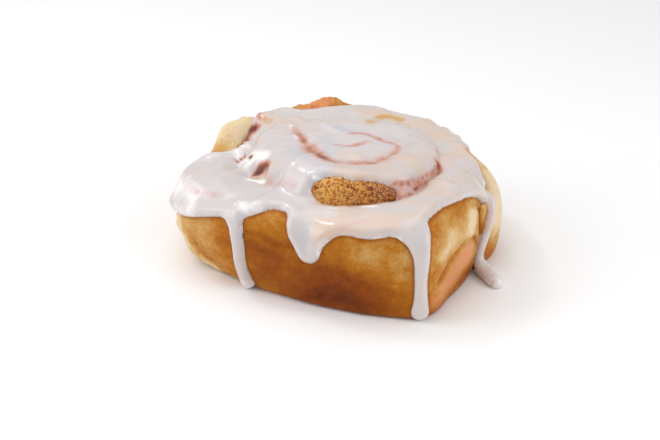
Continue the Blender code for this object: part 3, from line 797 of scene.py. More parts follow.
def square_grid(cells):
    """Turn and lean for a square grid whose square rings are opened out to circles. The lean grows fast near
    the middle and slowly near the rim, as 1.35 ring - 0.35 ring^2."""
    side = np.linspace(-1, 1, cells + 1)
    u, v = np.meshgrid(side, side, indexing="ij")
    flat = np.abs(u) >= np.abs(v)
    near, far = np.where(flat, v, u), np.where(flat, u, v)
    eighth = np.divide(near, far, out=np.zeros_like(far), where=far != 0) / 8
    turn = (np.where(flat, eighth, 0.25 - eighth) + np.where(far < 0, 0.5, 0.0)) % 1.0
    ring = np.maximum(np.abs(u), np.abs(v))
    return turn, FURTHEST_LEAN * (1.35 * ring - 0.35 * ring**2)


def grid_place(turn, lean):
    """Rows and columns of the square grid at these turns and leans, the other way round from square_grid."""
    ring = (1.35 - np.sqrt(1.35**2 - 1.4 * np.asarray(lean) / FURTHEST_LEAN)) / 0.7
    quarter = np.round(4 * turn).astype(int) % 4
    near = 8 * (turns_between(turn, quarter / 4)) * ring
    u = np.select([quarter == 0, quarter == 1, quarter == 2, quarter == 3], [ring, -near, -ring, near])
    v = np.select([quarter == 0, quarter == 1, quarter == 2, quarter == 3], [near, ring, -near, -ring])
    return (u + 1) / 2 * ICING_CELLS, (v + 1) / 2 * ICING_CELLS


def on_grid(points, turn, lean):
    """Points of a grid's surface at these turns and leans, between its four nearest corners."""
    row, column = grid_place(np.asarray(turn) % 1.0, lean)
    i = np.clip(row.astype(int), 0, ICING_CELLS - 1)
    j = np.clip(column.astype(int), 0, ICING_CELLS - 1)
    s, t = (row - i)[..., None], (column - j)[..., None]
    near = points[i, j] * (1 - t) + points[i, j + 1] * t
    far = points[i + 1, j] * (1 - t) + points[i + 1, j + 1] * t
    return near * (1 - s) + far * s


def neighbours(field):
    """The field moved by one cell each way."""
    wide = np.pad(field, [(1, 1), (1, 1)] + [(0, 0)] * (field.ndim - 2), mode="edge")
    rows, columns = field.shape[:2]
    return np.stack([wide[i : i + rows, j : j + columns] for i in range(3) for j in range(3)])


def softened(field, rounds):
    """The field with each cell averaged with its neighbours, this many times."""
    for _ in range(rounds):
        field = neighbours(field).mean(axis=0)
    return field


def filled(field, cells):
    """The field with hollows up to twice this many cells across filled."""
    for pick in [np.max] * cells + [np.min] * cells:
        field = pick(neighbours(field), axis=0)
    return field


def gap_to_hole(points, rows, count=HOLE_POINTS):
    """How far each point of the icing's grid lies outside an opening or a thin place."""
    turn, lean, half_width = resampled(rows, count).T
    return gap_to_path(points, on_grid(points, turn, lean), half_width * MM)


def iced(turn, lean, points):
    """How far each point lies inside the icing's outline: the edge and the drips joined with fillets, less
    the ragged opening."""
    edge_turn = np.linspace(0, 1, EDGE_POINTS)
    edge = gap_to_path(points, on_grid(points, edge_turn, edge_lean(edge_turn)))
    inside = np.where(lean < edge_lean(turn), edge, -edge)
    for path, widths in drip_paths():
        inside = larger(inside, -gap_to_path(points, path, widths), FILLET)
    ragged = 0.8 * MM * layered(points, (0.45, 2.6, 41), (0.25, 1.2, 42))
    return -larger(-inside, -(gap_to_hole(points, OPENING, OPENING_POINTS) + ragged), OPENING_FILLET)


def pulled_to_edge(points, depth):
    """Points just outside the edge, moved onto it along the line to their deepest neighbour, and a mark on
    all points in use."""
    deep = neighbours(depth)
    best = deep.argmax(axis=0)[None]
    deepest = np.take_along_axis(deep, best, axis=0)[0]
    partner = np.take_along_axis(neighbours(points), best[..., None], axis=0)[0]
    share = np.clip(deepest / np.maximum(deepest - depth, 1e-9), 0, 1)[..., None]
    moved = np.where((depth > 0)[..., None], points, partner + share * (points - partner))
    return moved, (depth > 0) | (deepest > 0)


# Tints of the icing, among them painted highlights and painted shade: (turn, distance from the eye) along
# each streak, its half width in mm and strength
TINTS = {
    "spice": (
        (((0.590, 22.8), (0.570, 20.9), (0.543, 18.2), (0.500, 16.2), (0.455, 15.4)), 1.6, 0.68),
        (((0.455, 15.2), (0.41, 16.2), (0.369, 17.6), (0.345, 18.3), (0.32, 18.8), (0.299, 18.8)), 2.9, 0.7),
        (((0.299, 18.8), (0.275, 18.3), (0.237, 17.3), (0.205, 16.6), (0.168, 15.6)), 2.9, 0.66),
        (((0.168, 15.7), (0.117, 14.4), (0.069, 13.3), (0.044, 12.3), (0.035, 10.3)), 1.7, 0.50),
        (((0.035, 10.3), (0.025, 8.1), (-0.05, 6.2), (-0.15, 5.2), (-0.25, 4.4), (-0.30, 4.4)), 1.6, 0.56),
        (((0.114, 3.6), (0.217, 4.2), (0.287, 5.6), (0.342, 6.8), (0.399, 8.4)), 1.3, 0.52),
        (((0.947, 17.6), (0.967, 20.1), (0.968, 23.3), (1.018, 24.4), (1.046, 25.3), (1.062, 25.7)), 1, 0.3),
        (((0.062, 25.7), (0.068, 26.7), (0.083, 28.2), (0.1, 28.5), (0.131, 28.7), (0.158, 28.9)), 1.3, 0.72),
        (((0.150, 29.4), (0.170, 30.4), (0.190, 31.2), (0.210, 31.6)), 2.6, 0.50),
        (((0.610, 40.9), (0.598, 40.5), (0.589, 40.2), (0.580, 40.0)), 1.5, 1.0),
        (((0.580, 40.0), (0.572, 40.0), (0.566, 39.6)), 1.0, 0.7),
        (((0.623, 43.0), (0.621, 41.6)), 1.4, 0.64),
        (((0.516, 33.2), (0.505, 32.2), (0.494, 31.4)), 0.5, 0.95),
        (((0.526, 38.6), (0.522, 37.6), (0.530, 36.8)), 0.6, 0.85),
        (((0.562, 37.8), (0.545, 36.4), (0.532, 35.6)), 0.4, 0.7),
        (((0.432, 28.9), (0.442, 29.4), (0.455, 30.6), (0.463, 31.8)), 1.0, 1.0),
        (((0.412, 30.4), (0.400, 30.6), (0.385, 30.6)), 1.3, 0.36),
        (((0.372, 30.5), (0.352, 30.1)), 1.5, 0.28),
        (
            ((0.515, 51.5), (0.502, 52.9), (0.482, 52.2), (0.464, 51.0))
            + ((0.449, 49.4), (0.442, 47.4), (0.430, 46.0)),
            1.5,
            0.24,
        ),
        (((0.268, 44.3), (0.255, 43.8), (0.243, 43.1), (0.228, 43.2), (0.218, 44.0)), 0.9, 0.22),
    ),
    "golden": (
        (((0.792, 15.8), (0.812, 17.0)), 3.0, 0.95),
        (((0.790, 22.0), (0.797, 26.0), (0.806, 27.8), (0.820, 28.4), (0.840, 28.0)), 2.0, 0.9),
        (((0.620, 40.4), (0.619, 39.4), (0.621, 38.0)), 1.7, 1.0),
        (((0.955, 34.6), (0.985, 35.2), (1.005, 36.5)), 1.4, 0.8),
        (((0.436, 30.6), (0.450, 31.8), (0.458, 33.2)), 0.6, 1.0),
        (((0.09, 5.5), (0.11, 4.0)), 1.8, 0.62),
    ),
    "peach": (
        (((0.290, 42.8), (0.277, 42.5), (0.262, 43.5)), 1.8, 0.9),
        (((0.250, 44.5), (0.232, 44.5), (0.215, 45.5), (0.190, 46.0)), 2.0, 0.4),
        (((0.335, 21.5), (0.290, 21.0), (0.240, 19.5), (0.190, 18.0)), 2.5, 0.35),
        (((0.680, 33.0), (0.740, 32.0), (0.790, 31.0)), 4.0, 0.5),
    ),
    # Painted highlights: glints on the wet folds at the back left and along the eye's groove, and highlights
    # on the lobe, the arch, the band's rims and the front rim
    "white": (
        (((0.562, 38.8), (0.540, 37.2), (0.518, 35.0), (0.505, 33.2), (0.490, 31.8)), 2.6, 1.0),
        (((0.500, 31.5), (0.475, 29.4), (0.455, 28.4)), 1.9, 0.9),
        (((0.425, 31.4), (0.437, 32.6), (0.450, 34.4)), 1.1, 1.0),
        (((0.592, 24.6), (0.580, 23.2)), 0.9, 1.0),
        (((0.545, 19.9), (0.525, 18.6)), 0.9, 1.0),
        (((0.466, 16.7), (0.450, 16.4)), 0.8, 1.0),
        (((0.238, 16.6), (0.228, 16.2)), 1.3, 0.8),
        (((0.490, 54.0), (0.465, 51.5), (0.447, 51.0)), 3.6, 0.8),
        (((0.394, 43.8), (0.380, 43.2), (0.368, 41.8)), 1.7, 0.8),
        (((0.300, 36.2), (0.270, 36.8), (0.240, 37.2), (0.215, 36.8)), 0.6, 0.8),
        (((0.325, 28.2), (0.290, 28.4), (0.250, 28.6), (0.215, 28.4)), 0.6, 0.8),
        (((0.29, 45.0), (0.279, 45.6), (0.264, 46.3), (0.245, 47.4), (0.227, 48.5), (0.214, 49.9)), 0.9, 0.9),
    ),
    # Painted shade: lavender shade over the swirl round the eye and in front of it
    "cool": (
        (((0.630, 10.0), (0.660, 8.4), (0.700, 6.6)), 1.5, 0.9),
        (((0.36, 13.0), (0.45, 10.0), (0.52, 9.0)), 2.4, 0.5),
        (((-0.02, 15.0), (0.05, 16.5), (0.12, 17.5)), 2.0, 0.5),
        (((0.42, 22.0), (0.34, 25.0), (0.26, 25.0), (0.18, 24.0)), 3.0, 0.4),
    ),
}


def tints(points):
    """Each tint the strongest of its streaks, worn by noise. Peach is also mottled all over, and stronger on
    the right."""
    worn = 0.8 + 0.4 * noise(points, 3.0 * MM, 51)
    fields = {}
    for tint, streaks in TINTS.items():
        field = np.zeros(points.shape[:-1])
        for rows, half_width, strength in streaks:
            away = gap_to_path(points[..., :2], plan_path(rows, STREAK_POINTS)) / (half_width * MM)
            field = np.maximum(field, strength * worn * bell(away))
        fields[tint] = clamped(field)
    turn, r = place_of(points)
    warm = 0.32 + 0.42 * bell(turns_between(turn, 0.98) / 0.22) * clamped(r / (28 * MM))
    fields["peach"] = clamped(warm + layered(points, (0.5, 11.0, 52), (0.3, 4.0, 53)) + fields["peach"])
    return fields


def levelled(turn, lean):
    """The dough's outermost surface with its grooves filled, except round the opening and near the edge."""
    distance = reach(turn, lean)
    followed = softened(filled(distance, FINE_GROOVE), 2)
    level = softened(filled(distance, WIDE_GROOVE), WIDE_ROUNDS)
    plain = along_ray(turn, lean, followed)
    open_places = np.minimum(gap_to_hole(plain, OPENING), gap_to_hole(plain, THIN))
    follow = bell(np.clip(open_places, 0, None) / FOLLOW_REACH)
    follow = np.maximum(follow, clamped((lean - FOLLOW_LEAN) / FOLLOW_FADE))
    return along_ray(turn, lean, softened(level + (followed - level) * follow, 2))


def icing_layer(turn, lean, middle, depth, thin, marks):
    """The icing's thickness: more at its rim but not round the opening, mottled, craggy on the left, and
    thin where the filling shows through."""
    near_rim = bell(np.clip(depth - RIM_WIDTH, 0, None) / RIM_FADE)
    near_rim *= np.clip(gap_to_hole(middle, OPENING) / RIM_CLEAR, 0.2, 1)
    layer = ICING_LAYER + (ICING_RIM - ICING_LAYER) * near_rim
    layer += layered(middle, *LAYER_NOISE) * MM
    craggy = bell(turns_between(turn, CRAGGY_TURN) / CRAGGY_WIDTH)
    craggy = craggy * bell((lean - CRAGGY_LEAN) / CRAGGY_SPREAD)
    layer += craggy * layered(middle, *CRAGGY_NOISE) * MM
    layer *= 1 - THIN_SHARE * thin
    layer -= MM * (0.5 * marks["spice"] + 0.3 * marks["golden"] - 0.25 * marks["white"])
    return np.maximum(layer, THINNEST)


def skin_quads(depth, used):
    """Quads of two skins over the cells in use, and of the sides between them along the open edges."""
    number = np.arange(depth.size).reshape(depth.shape)
    corners = (number[:-1, :-1], number[1:, :-1], number[1:, 1:], number[:-1, 1:])
    cells = np.stack(corners, axis=-1).reshape(-1, 4)
    cells = cells[used.ravel()[cells].all(axis=1) & (depth.ravel()[cells] > 0).any(axis=1)]
    starts, ends = cells.ravel(), np.roll(cells, -1, axis=1).ravel()
    alone = ~np.isin(starts * depth.size + ends, ends * depth.size + starts)
    starts, ends = starts[alone], ends[alone]
    sides = np.stack([ends, starts, starts + depth.size, ends + depth.size], axis=-1)
    return np.concatenate([cells, cells[:, ::-1] + depth.size, sides])


def icing_piece():
    """Icing in two skins: the levelled surface moved out by a layer that swells to a bead along its edge, and
    moved in by its root. At d bead widths inside the edge the layer has sqrt(1 - (1 - d)^2) of its height."""
    turn, lean = square_grid(ICING_CELLS)
    middle = levelled(turn, lean)
    normals = grid_normals(middle)
    normals *= np.sign(normals[ICING_CELLS // 2, ICING_CELLS // 2, 2])
    normals = softened(normals, 3)
    normals /= np.linalg.norm(normals, axis=-1, keepdims=True)
    depth = iced(turn, lean, middle)
    middle = middle + normals * lumps(middle)[..., None]
    thin = 1 - clamped(0.5 + gap_to_hole(middle, THIN) / THIN_FADE)
    marks = tints(middle)
    bead = np.sqrt(1 - (1 - clamped(depth / ICING_BEAD)) ** 2)
    lift = icing_layer(turn, lean, middle, depth, thin, marks) * bead - ICING_SUNK
    skins = []
    for skin in (middle + normals * lift[..., None], middle - normals * ICING_ROOT):
        skin, used = pulled_to_edge(skin, depth)
        skin[..., 2] = np.maximum(skin[..., 2], 0.0)
        skins.append(skin.reshape(-1, 3))
    worn = thin * (0.42 + layered(middle, (0.40, 1.5, 65), (0.2, 0.8, 66)))
    marks["spice"] = np.maximum(marks["spice"], worn)
    marks = {mark: np.tile(values.ravel(), 2) for mark, values in marks.items()}
    return piece_from("poured_icing", np.concatenate(skins), skin_quads(depth, used), marks)


FOOT_AROUND = 28
FOOT_TIP = 8
FOOT_THICKEST = 1.9 * MM


def near_floor(z):
    """1 up to 3 mm above the floor, fading to 0 at 8 mm."""
    return clamped((8 * MM - z) / (5 * MM))


def foot_piece():
    """The end of the right-hand drip: an oval carried down its path and out over the floor, its tip closed
    like a dome, and with a painted highlight that lightens it towards the floor."""
    turn, r, z, half_width = resampled(FOOT_DRIP, FOOT_POINTS).T
    path = at(turn, r * MM, z * MM)
    ahead = np.gradient(path, axis=0)
    ahead /= np.linalg.norm(ahead, axis=1)[:, None]
    level = near_floor(path[:, 2])[:, None]
    outwards = (path - EYE_ON_FLOOR) * (1, 1, 0)
    outwards /= np.linalg.norm(outwards, axis=1)[:, None]
    outwards = outwards * (1 - level) + np.array((0, 0, 1)) * level
    across = np.cross(ahead, outwards)
    across /= np.linalg.norm(across, axis=1)[:, None]
    outwards = np.cross(across, ahead)
    bend = np.radians(np.linspace(0, 90, FOOT_TIP + 1))[1:]
    tip = path[-1] + ahead[-1] * np.sin(bend)[:, None] * half_width[-1] * MM
    path = np.concatenate([path, tip])
    scale = np.concatenate([np.ones(FOOT_POINTS), np.maximum(np.cos(bend), 1e-4)])
    wide, across, outwards = (
        np.concatenate([a, np.repeat(a[-1:], FOOT_TIP, axis=0)]) for a in (half_width * MM, across, outwards)
    )
    thick = np.minimum(wide, FOOT_THICKEST) * scale
    wide = wide * scale
    angle = np.linspace(0, TAU, FOOT_AROUND, endpoint=False)
    points = path[:, None] + across[:, None] * np.cos(angle)[None, :, None] * wide[:, None, None]
    points = points + outwards[:, None] * np.sin(angle)[None, :, None] * thick[:, None, None]
    points = np.concatenate([np.broadcast_to(path[0], (1, FOOT_AROUND, 3)), points])
    points[..., 2] = np.maximum(points[..., 2], 0.0)
    low = near_floor(points[..., 2])
    # Painted highlight, stronger towards the floor, lightening the shade on the drip's foot
    marks = {tint: 0 * low for tint in TINTS} | {"peach": 0.5 + 0 * low, "white": 0.45 * low}
    return piece_from("drip_foot", points, tube_quads(len(points), FOOT_AROUND), marks)


def new_material(name):
    """A material with its own shader and its coordinates in metres on the object."""
    material = bpy.data.materials.new(name)
    material.use_nodes = True
    tree = material.node_tree
    return material, tree, tree.nodes["Principled BSDF"], add(tree, "TexCoord").outputs["Object"]


def set_inputs(tree, node, inputs):
    """Gives a node's inputs their values or links."""
    for key, value in inputs.items():
        if isinstance(value, bpy.types.NodeSocket):
            tree.links.new(value, node.inputs[key])
        else:
            node.inputs[key].default_value = value


def add(tree, kind, inputs=None, **settings):
    """A shader node of this kind, with these settings and inputs."""
    node = tree.nodes.new("ShaderNode" + kind)
    for key, value in settings.items():
        setattr(node, key, value)
    set_inputs(tree, node, inputs or {})
    return node


def mark_value(tree, mark):
    """A number that the mesh carries at its points."""
    return add(tree, "Attribute", attribute_name=mark).outputs["Fac"]


def sum_of(tree, *terms, plus=0.0):
    """The sum of values, each times its own factor, and a constant."""
    total = plus
    for value, factor in terms:
        inputs = {0: value, 1: factor, 2: total}
        total = add(tree, "Math", inputs, operation="MULTIPLY_ADD").outputs[0]
    return total


def ranged(tree, value, start, end, low, high):
    """A value carried over from the range start to end onto the range low to high."""
    return add(tree, "MapRange", {0: value, 1: start, 2: end, 3: low, 4: high}).outputs[0]


def cloud(tree, place, size, detail=3.0, roughness=0.55):
    """Noise with features of this size in metres."""
    inputs = {"Vector": place, "Scale": 1 / size, "Detail": detail, "Roughness": roughness}
    return add(tree, "TexNoise", inputs).outputs["Fac"]


def ramp(tree, value, *stops):
    """Colours along a value, as (place, colour) in order."""
    node = add(tree, "ValToRGB", {"Fac": value})
    elements = node.color_ramp.elements
    while len(elements) < len(stops):
        elements.new(0.5)
    for element, (place, colour) in zip(elements, stops):
        element.position = place
        element.color = (*colour, 1.0)
    return node.outputs["Color"]


def shade(value):
    """A grey."""
    return (value, value, value)


def mixed(tree, factor, a, b):
    """The first colour turning into the second as the factor goes from 0 to 1."""
    a, b = (colour if isinstance(colour, bpy.types.NodeSocket) else (*colour, 1.0) for colour in (a, b))
    return add(tree, "Mix", {0: factor, 6: a, 7: b}, data_type="RGBA").outputs[2]


def bumped(tree, height, depth, **normal):
    """Fine relief of this depth, on top of another one if that is given as Normal."""
    inputs = {"Height": height, "Distance": depth, "Strength": 1.0, **normal}
    return add(tree, "Bump", inputs).outputs["Normal"]


def crust_material(colours):
    """Baked crust: cream, golden and brown by how long it baked, mottled, with a painted shade line under the
    icing's edge and drips.
    """
    material, tree, shader, place = new_material("baked_crust")
    broad = cloud(tree, place, 11 * MM)
    fine = cloud(tree, place, 2.6 * MM, 5.0, 0.65)
    flat = add(tree, "Mapping", {"Vector": place, "Scale": (0.4, 0.4, 1.0)}).outputs[0]
    creased = cloud(tree, flat, 1.3 * MM, 5.0, 0.6)
    speckle = cloud(tree, place, 0.6 * MM, 2.0, 0.5)
    mottled = ((broad, 0.50), (fine, 0.32), (creased, 0.24), (speckle, 0.22))
    colour = ramp(
        tree,
        sum_of(tree, (mark_value(tree, "bake"), 1.0), *mottled, plus=-0.64),
        (0.0, colours.cream),
        (0.22, colours.pale),
        (0.45, colours.golden),
        (0.66, colours.brown),
        (0.86, colours.dark),
        (1.0, colours.darkest),
    )
    flush = sum_of(tree, (mark_value(tree, "flush"), 1.0), (broad, 0.5))
    colour = mixed(tree, ramp(tree, flush, (0.4, shade(0.0)), (0.95, shade(0.9))), colour, colours.salmon)
    # Painted shade: the crust turns brown along the icing's edge and its drips
    line = ranged(tree, mark_value(tree, "edge_line"), 0.1, 1.2, 0.8, 0.0)
    wrinkles = sum_of(tree, (cloud(tree, place, 1.8 * MM, 6.0, 0.6), 0.6), (creased, 0.6))
    wrinkled = bumped(tree, wrinkles, 0.40 * MM)
    look = {
        "Base Color": mixed(tree, line, colour, colours.brown),
        "Roughness": ranged(tree, fine, 0.3, 0.7, 0.36, 0.58),
        "Specular IOR Level": 0.12,
        "Subsurface Weight": 0.12,
        "Subsurface Radius": (0.0030, 0.0016, 0.0007),
        "Subsurface Scale": 1.0,
        "Normal": bumped(tree, cloud(tree, place, 0.5 * MM, 3.0, 0.6), 0.08 * MM, Normal=wrinkled),
    }
    set_inputs(tree, shader, look)
    return material


def filling_material(colours):
    """Moist cinnamon sugar: golden brown with dark specks, glistening, redder at the band's right end."""
    material, tree, shader, place = new_material("cinnamon_sugar")
    speck = add(tree, "TexVoronoi", {"Vector": place, "Scale": 1 / (0.5 * MM)}).outputs["Color"]
    speck = add(tree, "SeparateColor", {0: speck}).outputs[0]
    redder = ranged(tree, mark_value(tree, "coil"), 1.30, 1.15, 0.0, 0.22)
    value = sum_of(tree, (speck, 0.46), (cloud(tree, place, 1.5 * MM, 4.0), 0.75), (redder, -1.0))
    stops = ((0.20, colours.speck), (0.33, colours.cinnamon), (0.49, colours.syrup), (0.68, colours.toffee))
    red = sum_of(tree, (redder, 2.6))
    look = {
        "Base Color": mixed(tree, red, ramp(tree, value, *stops), colours.cinnamon),
        "Roughness": 0.28,
        "Specular IOR Level": 0.3,
        "Coat Weight": 0.2,
        "Coat Roughness": 0.12,
        "Subsurface Weight": 0.15,
        "Subsurface Radius": (0.0015, 0.0006, 0.0003),
        "Subsurface Scale": 1.0,
        "Normal": bumped(tree, cloud(tree, place, 0.35 * MM, 3.0, 0.6), 0.08 * MM),
    }
    set_inputs(tree, shader, look)
    return material


def grain_material(colours):
    """Single grains: some dark cinnamon, some pale wet sugar."""
    material, tree, shader, _ = new_material("grains")
    stops = ((0.0, colours.cinnamon), (0.3, colours.syrup), (0.65, colours.toffee), (0.95, colours.cream))
    tone = ramp(tree, mark_value(tree, "tone"), *stops)
    look = {"Base Color": tone, "Roughness": 0.22, "Coat Weight": 0.4, "Coat Roughness": 0.1}
    set_inputs(tree, shader, look)
    return material


def icing_material(colours):
    """Sugar icing: translucent, mauve to dark red over cinnamon, warm where it is thin, with painted lavender
    shade in its hollows and painted highlights.
    """
    material, tree, shader, place = new_material("sugar_icing")

    def clouded(mark, amount, size, share, *detail, plus=0.0):
        mottled = cloud(tree, place, size, *detail)
        return sum_of(tree, (mark_value(tree, mark), amount), (mottled, share), plus=plus)

    # Painted lavender shade from its streaks, also mottled all over by noise
    cool = ramp(tree, clouded("cool", 0.8, 7 * MM, 0.6), (0.25, shade(0.0)), (0.9, shade(1.0)))
    colour = mixed(tree, cool, colours.icing, colours.icing_painted_shade)
    thin = ranged(tree, mark_value(tree, "peach"), 0.45, 1.0, 0.0, 0.85)
    colour = mixed(tree, thin, colour, colours.icing_warm)
    # Painted highlights: the icing turns to the highlight colour on its glints, rims and lobe
    sugar = clouded("white", 1.0, 1.6 * MM, 0.5, 4.0, 0.6)
    sugar = ramp(tree, sugar, (0.5, shade(0.0)), (0.95, shade(1.0)))
    colour = mixed(tree, sugar, colour, colours.sugar_painted_highlight)
    spice = clouded("spice", 1.0, 1.4 * MM, 0.30, 4.0, 0.6, plus=-0.15)
    shown = ramp(tree, spice, (0.06, shade(0.0)), (0.34, shade(0.8)), (0.6, shade(1.0)))
    stops = ((0.1, colours.mauve), (0.45, colours.rose), (0.72, colours.cinnamon), (0.92, colours.speck))
    colour = mixed(tree, shown, colour, ramp(tree, spice, *stops))
    patch = clouded("golden", 0.8, 3.0 * MM, 0.75, 5.0, 0.65)
    patch = ramp(tree, patch, (0.60, shade(0.0)), (0.98, shade(0.9)))
    look = {
        "Base Color": mixed(tree, patch, colour, colours.golden_patch),
        "Roughness": 0.2,
        "Subsurface Weight": 0.45,
        "Subsurface Radius": (0.0022, 0.0014, 0.0012),
        "Subsurface Scale": 1.0,
        "Coat Weight": 0.15,
        "Coat Roughness": 0.08,
        "Normal": bumped(tree, cloud(tree, place, 4.0 * MM, 2.0, 0.4), 0.18 * MM),
    }
    set_inputs(tree, shader, look)
    return material


def floor_material(colours):
    """Plain pale matte floor, very slightly clouded."""
    material, tree, shader, place = new_material("pale_floor")
    darker = tuple(0.985 * c for c in colours.floor)
    colour = ramp(tree, cloud(tree, place, 0.12, 2.0), (0.3, darker), (0.7, tuple(colours.floor)))
    set_inputs(tree, shader, {"Base Color": colour, "Roughness": 0.8})
    return material


def finished(obj, material, slot, *nodes):
    """Gives a piece its material and the body it rides on, and has it stand for its nodes."""
    obj.data.materials.append(material)
    if nodes:
        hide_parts(*nodes)
    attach(obj, BODY)


def colour_prop(name, description, default):
    """A colour in the sidebar."""
    return bpy.props.FloatVectorProperty(
        name=name, description=description, subtype="COLOR", size=3, min=0.0, max=1.0, default=default
    )


def size_prop(name, description, default, **kind):
    """A number in the sidebar."""
    return bpy.props.FloatProperty(name=name, description=description, default=default, **kind)


class CinnamonRollColours(bpy.types.PropertyGroup):
    """Colours of the crust, the filling, the icing and the floor."""

    cream: colour_prop("Cream", "Crumb that the oven hardly coloured", (0.78, 0.61, 0.39))
    pale: colour_prop("Pale", "Palest crust", (0.64, 0.38, 0.12))
    golden: colour_prop("Golden", "Golden crust", (0.48, 0.17, 0.009))
    brown: colour_prop("Brown", "Well baked crust", (0.33, 0.086, 0.004))
    salmon: colour_prop("Salmon", "Crust flushed by its syrup", (0.72, 0.29, 0.13))
    dark: colour_prop("Dark", "Darkest crust at the foot", (0.24, 0.050, 0.003))
    darkest: colour_prop("Darkest", "Scorched spots", (0.15, 0.030, 0.005))
    toffee: colour_prop("Toffee", "Lightest cinnamon sugar", (0.80, 0.44, 0.10))
    syrup: colour_prop("Syrup", "Golden brown cinnamon sugar", (0.60, 0.20, 0.024))
    cinnamon: colour_prop("Cinnamon", "Red-brown cinnamon", (0.22, 0.038, 0.010))
    speck: colour_prop("Speck", "Dark cinnamon specks", (0.105, 0.018, 0.006))
    icing: colour_prop("Icing", "White icing", (0.66, 0.605, 0.595))
    # The colour of the icing's painted shade
    icing_painted_shade: colour_prop("Cool icing", "Icing where it is thick", (0.57, 0.55, 0.595))
    icing_warm: colour_prop("Warm icing", "Icing where the dough shows through", (0.69, 0.53, 0.42))
    golden_patch: colour_prop("Golden patch", "Dough under a film of icing", (0.62, 0.36, 0.09))
    # The colour of the icing's painted highlights
    sugar_painted_highlight: colour_prop("Sugar white", "Thick wet folds of icing", (0.93, 0.90, 0.90))
    mauve: colour_prop("Mauve", "Icing over a trace of cinnamon", (0.66, 0.50, 0.54))
    rose: colour_prop("Rose", "Icing over cinnamon", (0.60, 0.26, 0.16))
    floor: colour_prop("Floor", "Plain pale floor", (0.95, 0.95, 0.955))


class CinnamonRollSizes(bpy.types.PropertyGroup):
    """Sizes of the camera's view and the lights."""

    lens: size_prop("Lens", "Focal length", 74.18, subtype="DISTANCE_CAMERA")
    soft_light: size_prop("Soft light", "Power of the large light", 1.3, unit="POWER")
    small_light: size_prop("Small light", "Power of the small light", 0.2, unit="POWER")
    left_light: size_prop("Left light", "Power of the left light", 0.95, unit="POWER")
    right_light: size_prop("Right light", "Power of the right light", 1.3, unit="POWER")
    sky: size_prop("Surroundings", "Brightness of the surroundings", 0.56)


class CINNAMON_ROLL_OT_dough(bpy.types.Operator):
    """Adds the strip of baked dough"""

    bl_idname = "cinnamon_roll.dough"
    bl_label = "Dough"

    def execute(self, context):
        finished(dough_piece(), crust_material(context.scene.cinnamon_roll_colours), "baked_dough", "dough")
        return {"FINISHED"}


class CINNAMON_ROLL_OT_filling(bpy.types.Operator):
    """Adds the cinnamon filling and the grains on its bare band"""

    bl_idname = "cinnamon_roll.filling"
    bl_label = "Filling"

    def execute(self, context):
        colours = context.scene.cinnamon_roll_colours
        finished(filling_piece(), filling_material(colours), "cinnamon", "filling")
        finished(grains_piece(), grain_material(colours), "cinnamon")
        return {"FINISHED"}


class CINNAMON_ROLL_OT_icing(bpy.types.Operator):
    """Adds the poured icing with its drips"""

    bl_idname = "cinnamon_roll.icing"
    bl_label = "Icing"

    def execute(self, context):
        material = icing_material(context.scene.cinnamon_roll_colours)
        finished(icing_piece(), material, "sugar_icing", "icing")
        finished(foot_piece(), material, "sugar_icing", "icing")
        return {"FINISHED"}


FLOOR_REACH = 3.0
# Lights: name, place and width
LIGHTS = (
    ("soft_light", (-0.16, 0.12, 0.56), 0.6),
    ("small_light", (-0.25, 0.16, 0.42), 0.05),
    ("left_light", (-0.50, -0.10, 0.28), 0.35),
    ("right_light", (0.50, -0.26, 0.30), 0.4),
)
LIT_PLACE = (0.0, 0.0, 0.02)
CAMERA_PLACE = (-0.00405, -0.38694, 0.1906)
CAMERA_TILT = 65.0


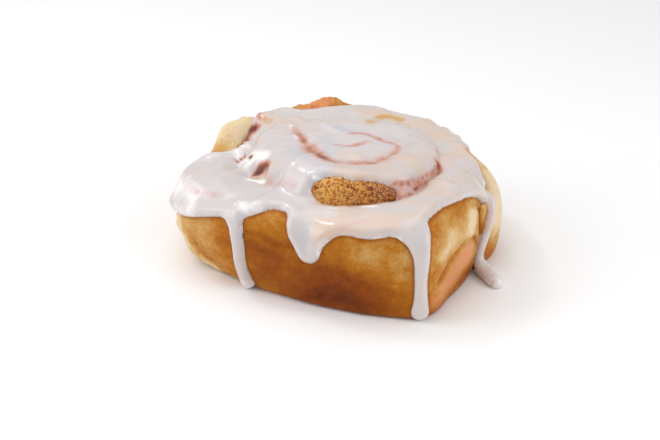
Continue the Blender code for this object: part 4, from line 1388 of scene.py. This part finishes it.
class CINNAMON_ROLL_OT_stage(bpy.types.Operator):
    """Adds the floor, the lights and the camera"""

    bl_idname = "cinnamon_roll.stage"
    bl_label = "Floor, lights and camera"

    def execute(self, context):
        sizes, colours = context.scene.cinnamon_roll_sizes, context.scene.cinnamon_roll_colours
        corners = np.array([(-1, -1, 0), (1, -1, 0), (1, 1, 0), (-1, 1, 0)])
        floor = piece_from("floor", FLOOR_REACH * corners, [(0, 1, 2, 3)])
        floor.data.materials.append(floor_material(colours))
        for name, place, width in LIGHTS:
            lamp(name, place, width, getattr(sizes, name))
        world = bpy.data.worlds.new("surroundings")
        world.use_nodes = True
        background = world.node_tree.nodes["Background"]
        set_inputs(world.node_tree, background, {"Color": (1.0, 1.0, 1.0, 1.0), "Strength": sizes.sky})
        context.scene.world = world
        context.scene.view_settings.view_transform = "Standard"
        camera = bpy.data.objects.new("camera", bpy.data.cameras.new("camera"))
        camera.data.lens = sizes.lens
        camera.location = CAMERA_PLACE
        camera.rotation_euler = (np.radians(CAMERA_TILT), 0.0, 0.0)
        context.scene.collection.objects.link(camera)
        context.scene.camera = camera
        return {"FINISHED"}


def lamp(name, place, width, power):
    """A square light that faces the roll."""
    light = bpy.data.lights.new(name, "AREA")
    light.size = width
    light.energy = power
    obj = bpy.data.objects.new(name, light)
    obj.location = place
    away = np.array(place) - LIT_PLACE
    obj.rotation_euler = (np.arctan2(np.hypot(away[0], away[1]), away[2]), 0.0, np.arctan2(away[0], -away[1]))
    bpy.context.scene.collection.objects.link(obj)


OPERATORS = (CINNAMON_ROLL_OT_dough, CINNAMON_ROLL_OT_filling, CINNAMON_ROLL_OT_icing, CINNAMON_ROLL_OT_stage)


class CINNAMON_ROLL_PT_panel(bpy.types.Panel):
    """Lists the roll's pieces, sizes and colours."""

    bl_label = "Cinnamon Roll"
    bl_idname = "CINNAMON_ROLL_PT_panel"
    bl_space_type = "VIEW_3D"
    bl_region_type = "UI"
    bl_category = "Cinnamon Roll"

    def draw(self, context):
        layout = self.layout
        for operator in OPERATORS:
            layout.operator(operator.bl_idname)
        for group in (context.scene.cinnamon_roll_sizes, context.scene.cinnamon_roll_colours):
            for name in group.__annotations__:
                layout.prop(group, name)


CLASSES = (CinnamonRollColours, CinnamonRollSizes) + OPERATORS + (CINNAMON_ROLL_PT_panel,)


def register():
    """Makes the roll's operators, panel and properties known."""
    for cls in CLASSES:
        bpy.utils.register_class(cls)
    bpy.types.Scene.cinnamon_roll_colours = bpy.props.PointerProperty(type=CinnamonRollColours)
    bpy.types.Scene.cinnamon_roll_sizes = bpy.props.PointerProperty(type=CinnamonRollSizes)


def unregister():
    """Takes them away again."""
    del bpy.types.Scene.cinnamon_roll_sizes
    del bpy.types.Scene.cinnamon_roll_colours
    for cls in reversed(CLASSES):
        bpy.utils.unregister_class(cls)


def main():
    """Builds every piece and the stage."""
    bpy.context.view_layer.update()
    register()
    bpy.ops.cinnamon_roll.dough()
    bpy.ops.cinnamon_roll.filling()
    bpy.ops.cinnamon_roll.icing()
    bpy.ops.cinnamon_roll.stage()


if __name__ == "__main__":
    main()
